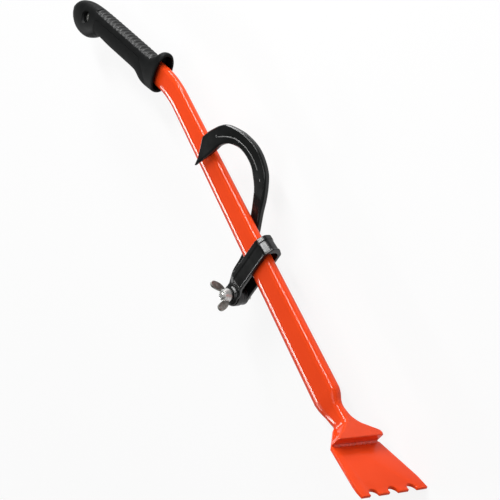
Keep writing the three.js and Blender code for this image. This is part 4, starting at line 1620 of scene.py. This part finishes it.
@dataclass(frozen=True)
class WingNut:
    """The cast wing nut."""

    span: float = 35.6
    height: float = 18.6
    thickness: float = 3.0
    tip_radius: float = 4.1
    tip_turn: float = 135.0
    tip_steps: int = 12
    tip_drop: float = 1.0
    root: Pair = (0.6, 1.5)
    lower_handle: Pair = (3.0, 3.0)
    upper_handle: float = 2.0
    shoulder_drop: float = 0.5
    foot: float = 0.8
    skin_voxel: float = 0.26
    skin_rounds: int = 5
    hub_margin: float = 1.0
    bore_ends: Pair = (-5.0, 30.0)
    sizes: BoltSizes = BOLT

    def build(self) -> None:
        """Melts hub and wings into one casting and opens its bore."""
        size = self.sizes
        hub = Shape.lathe("wing_nut_casting", [
            (0, 0), (size.hub_radius, 0), (size.hub_radius, self.foot), (size.hub_top_radius, size.hub_height),
            (0, size.hub_height),
        ])
        nut = hub.add(self.wing(), self.wing().moved(turned(math.pi, "Z")))
        nut.forged(self.skin_voxel, self.skin_rounds)
        nut.cut(Cut.AWAY, Shape.post("bore", size.radius + size.gap, *self.bore_ends))
        piece = nut.finish(IN_NUT, Body.NUT, Slot.ZINC_PLATE, ZINC_CAST, ("wing_nut",), sharp=50.0)
        top = size.hub_height + self.hub_margin
        dress_part(piece, ZINC_HUB, IN_NUT, lambda p: math.hypot(p.x, p.y) < size.hub_radius and p.z < top)

    def wing(self) -> Shape:
        """Gives one leaf-shaped wing.

        Returns:
            The wing, on the hub's X side.
        """
        size = self.sizes
        reach, root = self.span / 2, size.hub_top_radius - self.root[0]
        tip_x, tip_y = reach - self.tip_radius, self.height - self.tip_radius
        outline, low = [(root, self.root[1])], (reach - self.lower_handle[0], self.lower_handle[1])
        outline += curve(outline[0], low, (reach, tip_y - self.tip_drop))
        outline += arc((tip_x, tip_y), self.tip_radius, 0, self.tip_turn, self.tip_steps)
        shoulder, high = (root, size.hub_height - self.shoulder_drop), size.hub_top_radius + self.upper_handle
        outline += curve(outline[-1], (high, tip_y), shoulder)
        half = self.thickness / 2
        return Shape.slab("wing", outline, -half, half, turned(math.pi / 2, "X"))


# ---------------------------------------------------------------- studio


@dataclass(frozen=True)
class Studio:
    """Camera, lights, floor and surroundings."""

    right: Point = (0.38497, 0.50564, -0.77210)
    down: Point = (0.77926, -0.62633, -0.02164)
    ahead: Point = (-0.49453, -0.59333, -0.63514)
    eye: Point = (0.7255, 0.7798, 0.8688)
    lens: float = 86.4
    sensor: float = 36.0
    clip: Pair = (0.05, 20.0)
    upper_spot: Point = (LOOP.x, 13.0, 4.0)
    upper_turn: float = 41.0
    lower_spot: Point = (LOOP.x, -13.0, 5.0)
    lower_turn: float = -10.0
    key_side: Point = (0.3, 0.25, 0.92)
    far_side: Point = (-0.87, 0.44, 0.22)
    lamp_distance: float = 1.7
    floor_half: float = 6.0
    floor_drop: float = 0.0005
    floor_colour: Colour = (0.8, 0.8, 0.8)
    floor_white: float = 0.85
    world_strength: float = 0.15

    def build(self) -> None:
        """Sets up everything that isn't the lever."""
        self.camera()
        self.floor()
        self.world()
        middle = IN_TUBE @ Vector((LOOP.x, 0, 0))
        upper, lower = IN_TUBE @ Vector(self.upper_spot), IN_TUBE @ Vector(self.lower_spot)
        above, below = self.mirrored(upper, self.upper_turn), self.mirrored(lower, self.lower_turn)
        self.lamp("key_light", middle, Vector(self.key_side), size=(1.0, 1.0), watts=8.5)
        self.lamp("upper_edge_light", upper, above, size=(1.3, 0.14), watts=21.0)
        self.lamp("lower_edge_light", lower, below, size=(1.3, 0.08), watts=8.5)
        self.lamp("far_side_light", middle, Vector(self.far_side), size=(0.9, 0.25), watts=16.5)
        bpy.context.scene.view_settings.view_transform = "Standard"

    def camera(self) -> None:
        """Puts the camera where the photograph was taken from."""
        data = bpy.data.cameras.new("camera")
        data.sensor_width, data.lens = self.sensor, self.lens
        data.clip_start, data.clip_end = self.clip
        camera = bpy.data.objects.new("camera", data)
        bpy.context.scene.collection.objects.link(camera)
        axes = Matrix((Vector(self.right), -Vector(self.down), -Vector(self.ahead))).transposed()
        camera.matrix_world = Matrix.Translation(Vector(self.eye)) @ axes.to_4x4()
        bpy.context.scene.camera = camera

    def mirrored(self, spot: Vector, turn: float) -> Vector:
        """Gives the direction from which a lamp is mirrored to the camera by a face of the tube.

        Args:
            spot: Place on the tube.
            turn: How far the face is turned from the near side towards the top, in degrees.

        Returns:
            The direction from the tube to the lamp.
        """
        view = (Vector(self.eye) - spot).normalized()
        normal = Vector((0.0, math.sin(math.radians(turn)), math.cos(math.radians(turn))))
        return 2 * normal.dot(view) * normal - view

    def lamp(self, name: str, target: Vector, side: Vector, size: Pair, watts: float) -> None:
        """Hangs a soft rectangular lamp that points at the lever, with its width along the lever.

        Args:
            name: Name of the lamp.
            target: Place that it points at.
            side: Direction from there to the lamp.
            size: Its width and height, in metres.
            watts: Its power.
        """
        data = bpy.data.lights.new(name, "AREA")
        data.shape = "RECTANGLE"
        data.size, data.size_y = size
        data.energy = watts
        lamp = bpy.data.objects.new(name, data)
        back = side.normalized()
        lamp.location = target + back * self.lamp_distance
        long_side = (Vector((1.0, 0.0, 0.0)) - back * back.x).normalized()
        lamp.rotation_euler = Matrix((long_side, back.cross(long_side), back)).transposed().to_euler()
        bpy.context.scene.collection.objects.link(lamp)

    def floor(self) -> None:
        """Lays the pale floor, which the camera sees as white apart from the shadow."""
        half = self.floor_half
        corners = [(x, y, 0) for x, y in rectangle(-half, -half, half, half)]
        floor = Shape.solid("floor", corners, [(0, 1, 2, 3)]).moved(Matrix.Translation((0, 0, -self.floor_drop)))
        made = NodeSet.of_material("pale_floor")
        ray = made.node("ShaderNodeLightPath").outputs
        mirrored = made.math("MAXIMUM", ray["Is Glossy Ray"], ray["Is Transmission Ray"])
        share = made.math("MULTIPLY", made.math("MAXIMUM", ray["Is Camera Ray"], mirrored), self.floor_white)
        matt = made.node("ShaderNodeBsdfDiffuse", {"Color": (*self.floor_colour, 1.0)}).outputs[0]
        white = made.node("ShaderNodeEmission", {"Strength": 1.0}).outputs[0]
        made.surface("ShaderNodeMixShader", {0: share, 1: matt, 2: white})
        floor.object.data.materials.append(bpy.data.materials["pale_floor"])

    def world(self) -> None:
        """Surrounds the lever with soft white light."""
        world = bpy.data.worlds.new("soft_white")
        bpy.context.scene.world = world
        world.use_nodes = True
        back = world.node_tree.nodes["Background"]
        back.inputs["Color"].default_value = (1.0, 1.0, 1.0, 1.0)
        back.inputs["Strength"].default_value = self.world_strength


# ---------------------------------------------------------------- the whole lever


def dress_hidden_node() -> None:
    """Gives the plug inside the grip, which stays as it is, a finish."""
    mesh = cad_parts["tube_end_plug"].data
    mesh.materials.clear()
    mesh.materials.append(PLASTIC.material())
    LOG.info("tube_end_plug keeps its packed shape")


def main() -> None:
    """Builds the lever's sub-assemblies and the studio in order."""
    logging.basicConfig(level=logging.INFO, format="%(name)s: %(message)s")
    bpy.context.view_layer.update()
    for part in (Shaft(), Neck(), Blade(), Grip(), ClampLoop(), TurningHook(), BoltSet(), WingNut(), Studio()):
        part.build()
    dress_hidden_node()


if __name__ == "__main__":
    main()
